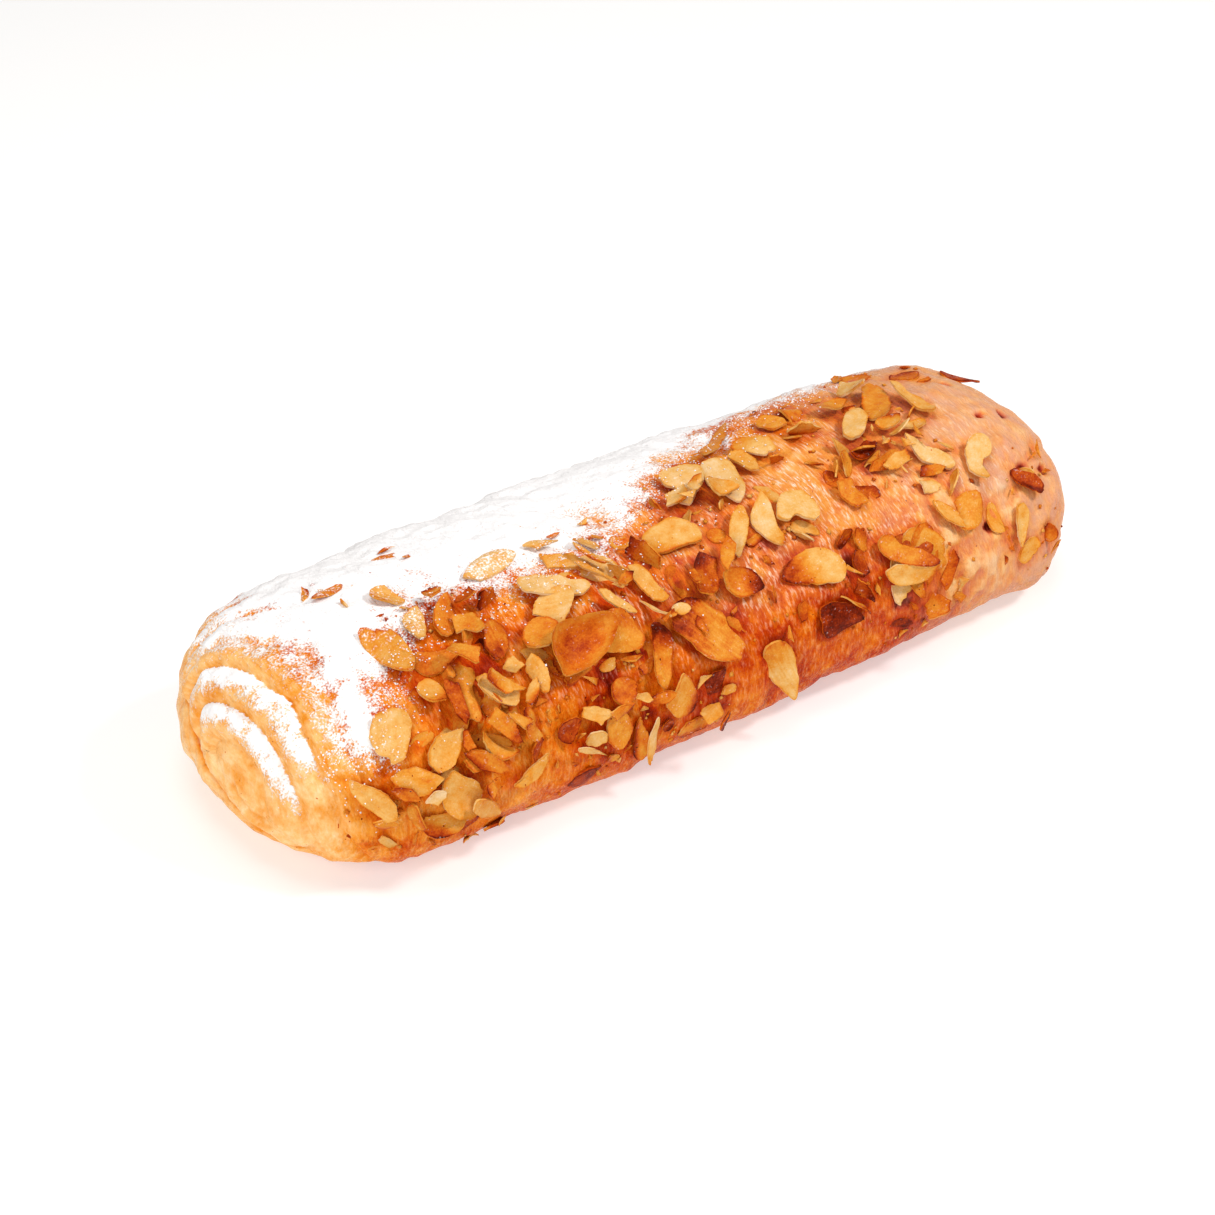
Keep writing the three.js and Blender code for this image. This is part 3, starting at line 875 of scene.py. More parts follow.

# Each large flake's rim in the order of their numbers, read off: x, y of corners in the photo's pixels
OUTLINES = [
    (641, 538, 649, 529, 668, 519, 684, 519, 697, 526, 703, 536, 700, 541, 680, 546, 669, 552, 657, 555,
     646, 553),
    (699, 465, 712, 459, 724, 459, 733, 464, 741, 477, 746, 487, 744, 496, 739, 502, 730, 498, 717, 490,
     706, 480),
    (665, 488, 673, 480, 690, 476, 708, 480, 712, 492, 704, 500, 698, 513, 686, 513, 683, 498, 671, 498),
    (738, 503, 744, 504, 748, 513, 749, 523, 747, 538, 743, 550, 739, 559, 733, 549, 729, 538, 729, 527,
     731, 516),
    (759, 494, 769, 503, 773, 513, 776, 526, 785, 535, 785, 544, 780, 550, 765, 539, 758, 532, 750, 521,
     750, 515),
    (775, 506, 778, 497, 787, 493, 799, 493, 810, 500, 819, 516, 813, 522, 802, 518, 795, 514, 787, 523,
     776, 519),
    (780, 581, 782, 572, 789, 561, 801, 552, 813, 548, 828, 549, 839, 555, 846, 564, 847, 573, 844, 581,
     830, 582, 819, 585, 813, 582, 807, 585, 802, 582, 796, 585),
    (822, 620, 824, 610, 836, 603, 850, 604, 860, 611, 865, 619, 854, 625, 844, 630, 834, 637, 827, 639,
     822, 631),
    (770, 642, 780, 639, 790, 645, 796, 656, 797, 672, 796, 688, 794, 701, 784, 692, 773, 680, 766, 664,
     765, 650),
    (673, 605, 684, 597, 702, 600, 713, 608, 724, 616, 728, 628, 739, 637, 747, 646, 741, 650, 741, 660,
     731, 662, 710, 660, 699, 652, 687, 640, 674, 629, 672, 617),
    (718, 576, 726, 570, 740, 568, 750, 570, 758, 579, 762, 590, 755, 594, 741, 600, 732, 597, 723, 591),
    (697, 553, 704, 555, 717, 559, 717, 570, 720, 581, 718, 591, 709, 601, 698, 597, 697, 584, 694, 564),
    (649, 623, 656, 622, 667, 631, 672, 640, 671, 657, 671, 672, 666, 689, 661, 690, 655, 682, 653, 668,
     652, 637),
    (683, 672, 690, 678, 696, 689, 698, 700, 693, 711, 684, 716, 675, 717, 667, 706, 672, 695, 678, 683),
    (549, 631, 564, 625, 584, 619, 600, 616, 610, 619, 613, 628, 609, 643, 603, 656, 588, 670, 572, 678,
     558, 683, 554, 668, 546, 660, 543, 643),
    (522, 640, 525, 628, 535, 620, 547, 619, 557, 622, 561, 630, 557, 642, 548, 652, 535, 654, 526, 650),
    (601, 616, 612, 608, 624, 607, 633, 614, 638, 625, 644, 637, 641, 648, 632, 652, 607, 652, 604, 637),
    (531, 618, 535, 603, 546, 592, 558, 587, 569, 588, 574, 598, 570, 612, 561, 624, 549, 619),
    (512, 580, 534, 578, 554, 583, 570, 585, 583, 584, 588, 590, 580, 597, 560, 599, 532, 601, 520, 597),
    (571, 569, 581, 568, 595, 576, 607, 584, 617, 590, 627, 594, 620, 597, 609, 591, 594, 582, 581, 577),
    (598, 589, 606, 590, 618, 599, 629, 606, 637, 614, 630, 615, 616, 608, 605, 599),
    (626, 567, 638, 565, 650, 574, 662, 590, 669, 599, 662, 604, 653, 602, 641, 590, 632, 579),
    (512, 785, 523, 777, 538, 761, 548, 752, 548, 764, 538, 780, 526, 785, 517, 787),
    (607, 721, 613, 712, 621, 709, 629, 717, 632, 728, 630, 738, 623, 747, 615, 749, 607, 741),
    (374, 715, 396, 709, 407, 713, 413, 721, 411, 735, 407, 750, 404, 761, 396, 765, 389, 768, 390, 758,
     379, 756, 370, 738, 371, 725),
    (427, 751, 436, 736, 450, 731, 463, 727, 464, 738, 460, 751, 454, 764, 445, 771, 437, 774, 428, 764),
    (440, 661, 454, 661, 466, 667, 476, 666, 477, 676, 472, 687, 480, 707, 482, 719, 479, 724, 469, 716,
     469, 730, 457, 727, 448, 721, 442, 704, 445, 690),
    (474, 687, 482, 676, 497, 679, 511, 681, 518, 693, 518, 702, 512, 708, 497, 705, 485, 698),
    (440, 795, 444, 780, 453, 769, 462, 775, 476, 780, 482, 795, 480, 812, 468, 818, 452, 816, 442, 808),
    (348, 779, 360, 784, 375, 788, 388, 795, 397, 806, 398, 820, 388, 823, 377, 815, 362, 805, 351, 792),
    (389, 778, 400, 770, 415, 767, 430, 771, 445, 778, 438, 786, 428, 796, 415, 799, 402, 792),
    (467, 806, 474, 797, 484, 794, 493, 800, 496, 809, 488, 814, 476, 813),
    (483, 626, 492, 619, 503, 623, 508, 633, 509, 647, 503, 658, 495, 655, 485, 646),
    (451, 620, 472, 614, 480, 621, 486, 630, 477, 634, 466, 630, 456, 634),
    (402, 617, 411, 610, 417, 607, 424, 617, 426, 629, 426, 640, 419, 643, 411, 634, 404, 626),
    (410, 655, 427, 652, 448, 649, 460, 641, 461, 652, 454, 661, 442, 670, 430, 673, 416, 666),
    (526, 661, 531, 653, 540, 658, 548, 669, 551, 682, 549, 692, 543, 692, 534, 682, 526, 670),
    (870, 542, 876, 535, 884, 533, 890, 543, 899, 546, 913, 548, 925, 554, 934, 562, 928, 567, 916, 567,
     897, 565, 882, 559, 873, 551),
    (881, 570, 894, 563, 916, 563, 934, 561, 931, 573, 922, 579, 907, 583, 894, 584, 885, 579),
    (931, 501, 937, 500, 946, 505, 957, 513, 963, 522, 965, 528, 956, 527, 943, 521, 937, 512),
    (957, 498, 962, 492, 974, 490, 980, 498, 982, 510, 980, 522, 972, 530, 963, 530, 959, 521, 960, 512),
    (903, 433, 913, 438, 922, 446, 940, 450, 949, 455, 957, 464, 951, 469, 936, 466, 922, 460, 913, 450),
    (964, 453, 966, 441, 975, 437, 986, 440, 991, 447, 990, 456, 983, 458, 982, 466, 986, 473, 988, 481,
     983, 483, 975, 478, 968, 470),
    (1017, 504, 1023, 502, 1028, 510, 1027, 524, 1024, 539, 1021, 548, 1018, 539, 1015, 522),
    (861, 391, 868, 384, 881, 384, 888, 392, 891, 406, 888, 415, 881, 420, 870, 418, 862, 406),
    (887, 386, 896, 386, 907, 395, 919, 400, 934, 412, 931, 417, 920, 411, 910, 406, 897, 397),
    (817, 417, 824, 409, 838, 406, 848, 408, 845, 414, 834, 420, 821, 421),
    (842, 423, 846, 412, 859, 409, 868, 417, 865, 430, 860, 436, 851, 440, 843, 436),
    (732, 450, 730, 444, 738, 437, 758, 436, 770, 439, 777, 446, 775, 450, 769, 450, 766, 455, 753, 453),
    (697, 455, 706, 443, 717, 429, 726, 424, 726, 434, 720, 447, 710, 454, 704, 458),
    (834, 486, 850, 480, 854, 489, 862, 498, 867, 506, 856, 510, 847, 504, 839, 498),
    (462, 574, 470, 562, 485, 553, 502, 548, 516, 550, 510, 560, 497, 568, 480, 574),
]

# What else sets single large flakes apart, by number: brown is the direction of the browned side in the
# photo, in degrees from right to up, and how much; bend is along and across; dish is how far the rim stands
# up; lines is how much lengthways lines show; lift is how far it is raised over others
FORMS = {
    1: {"brown": (285, 0.32), "bend": (0.0, 0.06)},
    2: {"brown": (20, 0.14), "bend": (0.02, -0.08)},
    3: {"lift": 0.5},
    4: {"brown": (95, 0.2)},
    5: {"brown": (310, 0.3)},
    6: {"brown": (30, 0.12), "bend": (0.0, 0.05), "lift": 0.4},
    7: {"brown": (205, 0.5), "bend": (0.0, -0.05)},
    8: {"bend": (0.0, -0.3)},
    9: {"brown": (120, 0.25), "lines": 0.3},
    10: {"brown": (160, 0.3), "lines": 0.4, "bend": (0.0, 0.06)},
    11: {"brown": (0, 0.36), "dish": 0.6},
    12: {"brown": (110, 0.45)},
    13: {"brown": (90, 0.5)},
    14: {"brown": (350, 0.4)},
    15: {"dish": 3.2, "bend": (0.1, 0.2), "lift": 0.8},
    17: {"brown": (120, 0.12), "lift": -0.4},
    18: {"lines": 0.3, "lift": 0.9},
    19: {"lift": -0.4},
    20: {"bend": (0.1, 0.3)},
    25: {"sugar": 0.2},
    27: {"bend": (0.0, -0.5), "brown": (180, 0.1), "lift": 0.8},
    28: {"bend": (0.2, 0.5)},
    33: {"lines": 0.35, "brown": (270, 0.15)},
    36: {"bend": (0.1, -0.3)},
    37: {"bend": (0.0, -0.3), "lift": 0.6},
    38: {"brown": (330, 0.3), "bend": (0.05, 0.2), "lift": 1.0},
    39: {"brown": (0, 0.3)},
    41: {"bend": (0.1, -0.3)},
    43: {"brown": (300, 0.2)},
    47: {"lift": 0.5},
    49: {"brown": (150, 0.3), "sugar": 0.4},
    50: {"sugar": 0.2},
}


def any_form(rng, breaks, corners=0):
    """The form of a flake like many others, with straight breaks, or a shard with a number of corners."""
    return {
        "corners": corners, "sugar": 1.0, "dish": 0.0, "lines": 0.1,
        "tip": rng.uniform(0, 0.55), "tail": rng.uniform(0, 0.25), "blunt": rng.uniform(2.0, 2.5),
        "cuts": [(rng.uniform(0, 2 * np.pi), rng.uniform(0.45, 0.85)) for _ in range(breaks)],
        "brown": (rng.uniform(0, 2 * np.pi), rng.choice((0, 0.1, 0.2, 0.35))),
        "bend": (rng.normal(0.06, 0.1), rng.normal(0.02, 0.18)),
    }


def shard_outline(rng, theta, corners):
    """A rim of straight sides between uneven corners."""
    number = np.arange(corners + 1)
    angle = 2 * np.pi / corners * (number + np.append(rng.uniform(-0.4, 0.4, corners), 0))
    reach = rng.uniform(0.6, 1.0, corners + 1)
    angle[-1], reach[-1] = angle[0], reach[0]
    place = theta / (2 * np.pi) * corners
    return tuple(np.interp(place, number, reach * turn(angle)) for turn in (np.cos, np.sin))


def flake_outline(rng, theta, form):
    """A flake's rim on a unit box: perhaps pointed at theta 0, wavy, with straight ragged breaks."""
    x, y = (np.sign(v) * np.abs(v) ** (2 / form["blunt"]) for v in (np.cos(theta), np.sin(theta)))
    y = y * np.abs(np.sin(theta / 2)) ** form["tip"] * np.abs(np.cos(theta / 2)) ** form["tail"]
    y = y / np.abs(y).max()
    ragged = ROUND_RAGGED
    if form["corners"]:
        x, y = shard_outline(rng, theta, form["corners"])
        ragged = SHARD_RAGGED
    wave = 0 * theta
    for k in RIM_WAVES:
        height = rng.normal(0, ragged) / k ** RIM_WAVE_FADE
        wave = wave + height * np.cos(k * theta + rng.uniform(0, ANY_ANGLE))
    x, y = x * (1 + wave), y * (1 + wave)
    for angle, reach in form["cuts"]:
        (high, many), (low, more) = TEETH
        teeth = high * np.sin(many * theta + rng.uniform(0, ANY_ANGLE)) + low * np.sin(more * theta)
        beyond = np.maximum(x * math.cos(angle) + y * math.sin(angle) - reach - teeth, 0)
        x, y = x - beyond * math.cos(angle), y - beyond * math.sin(angle)
    return tuple(2 * (v - v.min()) / np.ptp(v) - 1 for v in (x, y))


def flake_height(rng, x, y, rho, length, width, form):
    """The middle surface of a flake: bent both ways, twisted, rippled, its rim curled."""
    along_bend, across_bend = form["bend"]
    flat = np.stack([x * length / 2, y * width / 2, 0 * x], -1)
    height = length / 2 * (along_bend * x * x + rng.normal(0, TWIST) * x * y)
    height = height + width / 2 * across_bend * np.abs(y) ** BEND_POWER + form["dish"] * rho ** 4
    height = height + RIPPLE * lattice(flat, size=3.0, seed=int(rng.integers(1e6)))
    return height + CURL * smoothstep(0.3, 1.0, rho) * lattice(flat, size=5.0, seed=int(rng.integers(1e6)))


def flake_browning(rng, x, y, rho, tone, form):
    """Browning over a flake: scorched on one side, darker along its rim or in the middle of a dish."""
    angle, strength = form["brown"]
    scorch = strength * smoothstep(-0.1, 1.0, x * math.cos(angle) + y * math.sin(angle))
    parts = 0.6 + 0.4 * np.sin(2 * np.arctan2(y, x) + rng.uniform(0, ANY_ANGLE))
    rim = RIM_SCORCH * smoothstep(0.84, 1.0, rho) * parts
    return np.minimum(tone + scorch + rim + DISH_DARKENING * form["dish"] * (1 - rho ** 2), FLAKE_DARKEST)


def flake_mesh(rng, length, width, tone, form, rim=None):
    """A thin flake with a cut edge: its points about the middle, triangles and fields."""
    theta = np.arange(FLAKE_SIDES) / FLAKE_SIDES * 2 * np.pi
    if rim is None:
        rim = np.stack(flake_outline(rng, theta, form), -1) * (length / 2, width / 2)
    rho, spoke = np.meshgrid(np.append(0, FLAKE_RINGS), np.arange(FLAKE_SIDES), indexing="ij")
    hub = rim.mean(0)
    flat = hub + rho[..., None] * (rim[spoke] - hub)
    x, y = (np.append(v[0, :1], v[1:]) for v in (flat[..., 0] / (length / 2), flat[..., 1] / (width / 2)))
    rho = np.append(0, rho[1:])
    middle = flake_height(rng, x, y, rho, length, width, form)
    fixed, share = NARROW_THICKNESS
    half = min(rng.uniform(*FLAKE_THICKNESS), fixed + share * width) / 2
    top = np.stack([x * length / 2, y * width / 2, middle + half], -1)
    under = np.stack([x * length / 2, y * width / 2, middle - half], -1)
    brown = flake_browning(rng, x, y, rho, tone, form)
    on_rim = rho > 0.99
    own = np.stack([x * length * LINE_STRETCH, y * width / 2, 0 * x + rng.uniform(0, 100)], -1) * MM
    fields = {
        "toast": np.concatenate([brown, brown + UNDER_SCORCH]),
        "upper": np.concatenate([np.ones(len(top)), np.zeros(len(top))]),
        "rim": np.concatenate([1.0 * on_rim, 2.0 * on_rim]),
        "own": np.concatenate([own, own]),
        "lined": np.full(2 * len(top), form["lines"]),
    }
    return np.concatenate([top, under]), flake_faces(len(top)), fields


def flake_faces(count):
    """Triangles of a flake's upper side, under side and rim wall, for a count of points on each side."""
    c = np.arange(FLAKE_SIDES)
    n = (c + 1) % FLAKE_SIDES
    upper = [np.stack([0 * c, 1 + c, 1 + n], -1)]
    for ring in range(len(FLAKE_RINGS) - 1):
        a, b = 1 + ring * FLAKE_SIDES, 1 + (ring + 1) * FLAKE_SIDES
        upper += [np.stack([a + c, b + c, b + n], -1), np.stack([a + c, b + n, a + n], -1)]
    upper = np.concatenate(upper)
    rim, other = count - FLAKE_SIDES, 2 * count - FLAKE_SIDES
    wall = [np.stack([rim + c, other + c, other + n], -1), np.stack([rim + c, other + n, rim + n], -1)]
    return np.concatenate([upper, upper[:, ::-1] + count, *wall])


class Pile:
    """How high flakes already lie above the smooth roll, on a grid of along and around."""

    STEP_ALONG = 0.6
    STEP_AROUND = math.radians(0.8)
    NEAR_CELLS = 11
    FELT_ROWS, FELT_COLUMNS, FELT_ROUND = 9, 7, 1.05
    SLOPES = np.linspace(-0.4, 0.4, 13)

    def __init__(self):
        self.along = np.arange(-HALF, HALF, self.STEP_ALONG)
        self.around = np.arange(-np.pi, np.pi, self.STEP_AROUND)
        grid = np.meshgrid(self.along, self.around, indexing="ij")
        self.bare = roll_relief(*grid)
        self.height = self.bare.copy()
        self.covered = np.zeros_like(self.height)

    def cells(self, along, around):
        i = np.clip(np.rint((along + HALF) / self.STEP_ALONG), 1, len(self.along) - 2).astype(int)
        j = np.clip(np.rint((around + np.pi) / self.STEP_AROUND), 1, len(self.around) - 2).astype(int)
        return i, j

    def top(self, along, around, ground=None):
        """The points of whatever lies uppermost at some places, or of the ground there."""
        ground = self.height if ground is None else ground
        height = ground[self.cells(along, around)]
        return smooth_point(along, around) + outward(along, around) * height[..., None]

    def cover(self, points):
        """Records the upper side of a flake that has been laid."""
        along, around = unrolled(points)
        height = ((points - smooth_point(along, around)) * outward(along, around)).sum(-1)
        i, j = self.cells(along, around)
        for di in (-1, 0, 1):
            for dj in (-1, 0, 1):
                np.maximum.at(self.height, (i + di, j + dj), height)
                self.covered[i + di, j + dj] = 1

    def nearness(self, along, around):
        """How close places are to flakes, from 0 to 1."""
        kernel = np.hanning(self.NEAR_CELLS)[1:-1]
        kernel = kernel / kernel.sum()
        blurred = self.covered
        for axis in (0, 1):
            blurred = np.apply_along_axis(np.convolve, axis, blurred, kernel, "same")
        return blurred[self.cells(along, around)]

    def lay(self, along, around, turn, length, width, tilt, ground):
        """The frame of a flake laid at a place: it rests on what is under it, tilted a little more."""
        base, lengthways, sideways, normal = surface_axes(along, around)
        ahead = math.cos(turn) * lengthways + math.sin(turn) * sideways
        across = np.cross(normal, ahead)
        s, t = (np.linspace(-1, 1, count) for count in (self.FELT_ROWS, self.FELT_COLUMNS))
        s, t = np.meshgrid(s, t, indexing="ij")
        t = t * np.sqrt(self.FELT_ROUND - s * s)
        s, t = (s * length / 2).ravel(), (t * width / 2).ravel()
        under = base + s[:, None] * ahead + t[:, None] * across
        felt = (self.top(*unrolled(under), ground) - base) @ normal
        pitch, bank = (g.ravel() for g in np.meshgrid(self.SLOPES, self.SLOPES, indexing="ij"))
        lift = (felt[None] - pitch[:, None] * s - bank[:, None] * t).max(1)
        best = lift.argmin()
        slope_s, slope_t = pitch[best] + tilt[0], bank[best] + tilt[1]
        rest = (felt - slope_s * s - slope_t * t).max()
        ahead = unit(ahead + slope_s * normal)
        up = unit(np.cross(ahead, across + slope_t * normal))
        return base + normal * rest, np.stack([ahead, np.cross(up, ahead), up])


def node_frame(name):
    """Middle, axes (tip, across, outward) and size of a flake's solid."""
    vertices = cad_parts[name].data.vertices
    points = np.array([v.co for v in vertices]) / MM
    points = np.unique(points.round(4), axis=0)
    middle = points.mean(0)
    spread = points - middle
    normal = np.linalg.svd(spread, full_matrices=False)[2][2]
    normal = normal * np.sign(normal @ outward(*unrolled(middle)))
    flat = spread - np.outer(spread @ normal, normal)
    tip = unit(flat[np.argmax((flat ** 2).sum(1))])
    axes = np.stack([tip, np.cross(normal, tip), normal])
    local = spread @ axes.T
    size = local.max(0) - local.min(0)
    middle = middle + (local.max(0) + local.min(0)) / 2 @ axes
    return middle, axes, size


SINK = 0.1              # how deep a large flake sits in the crust
ROCK = 0.16             # how much a large flake usually leans against its solid
TILT = 0.24             # how much a smaller flake usually leans against what it lies on
FACING = np.array([-0.47, -0.67, 0.57])     # the way that most flakes lean, up and to the front left
RIDGE_FACING = 0.5      # nearer the ridge than this, no broken bit stands on edge
STRAY_LIMIT = 2.2       # how far a flake may lie from the middle of its solid
FLAKE_SUGAR = 0.42      # sugar on a flake against the crust beside it
DUST = 0.04             # the little sugar that clings to every flake


def node_form(rng, number, to_flake):
    """The form of a numbered flake, its browned side turned from the photo into its own plane."""
    form = any_form(rng, 0) | {"brown": (0, 0.0)} | FORMS.get(number, {})
    degrees, strength = form["brown"]
    ahead, across = to_flake @ (math.cos(math.radians(degrees)), -math.sin(math.radians(degrees)))
    return form | {"brown": (math.atan2(across, ahead), strength)}


def seen_rim(rng, number, middle, to_flake):
    """The rim of a numbered flake in its own plane, evenly divided and a little ragged."""
    corners = (np.reshape(OUTLINES[number - 1], (-1, 2)) - middle) @ to_flake.T
    after = np.roll(corners, -1, 0)
    if (corners[:, 0] * after[:, 1] - corners[:, 1] * after[:, 0]).sum() < 0:
        corners = corners[::-1]
    closed = np.concatenate([corners, corners[:1]])
    run = np.append(0, np.cumsum(np.linalg.norm(np.diff(closed, axis=0), axis=1)))
    at = np.linspace(0, run[-1], FLAKE_SIDES, endpoint=False)
    rim = np.stack([np.interp(at, run, closed[:, side]) for side in (0, 1)], -1)
    rim = (np.roll(rim, 1, 0) + 2 * rim + np.roll(rim, -1, 0)) / 4
    stray = (rim.min(0) + rim.max(0)) / 2
    rim = rim - stray * max(0, 1 - STRAY_LIMIT / np.linalg.norm(stray))
    return rim + rng.normal(0, RAGGED, rim.shape)


def flake_sugar(points, fields, form):
    """Adds the sugar lying on a flake, which holds less of it than the crust."""
    cover = FLAKE_SUGAR * sugar_cover(*unrolled(points)) * form["sugar"] + DUST
    kept = {name: fields[name] for name in ("toast", "rim", "own", "lined")}
    return kept | {"sugar": cover * fields["upper"]}


def make_node_flakes(pile, material):
    """A detailed flake in place of each flake's solid."""
    names = sorted(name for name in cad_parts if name.startswith("almond_flake"))
    for number, name in enumerate(names, 1):
        rng = np.random.default_rng(SEED * 1000 + number)
        middle, axes, size = node_frame(name)
        pitch, bank = -axes[:2] @ FACING * abs(rng.normal(0, ROCK)) + rng.normal(0, ROCK / 3, 2)
        lift = FORMS.get(number, {}).get("lift", 0.0)
        middle = middle + axes[2] * ((abs(pitch) * size[0] + abs(bank) * size[1]) / 4 - SINK + lift)
        axes = np.stack([axes[0] + pitch * axes[2], axes[1] + bank * axes[2], axes[2]])
        pixels = project(np.stack([middle, middle + axes[0], middle + axes[1]]))
        to_flake = np.linalg.inv((pixels[1:] - pixels[0]).T)
        form = node_form(rng, number, to_flake)
        rim = seen_rim(rng, number, pixels[0], to_flake)
        points, faces, fields = flake_mesh(rng, size[0], size[1], TONES[number - 1], form, rim)
        points = middle + points @ axes
        pile.cover(points[fields["upper"] > 0])
        fields = flake_sugar(points, fields, form)
        mesh_piece("flake_" + name[-2:], points, [faces], fields, material, [name])


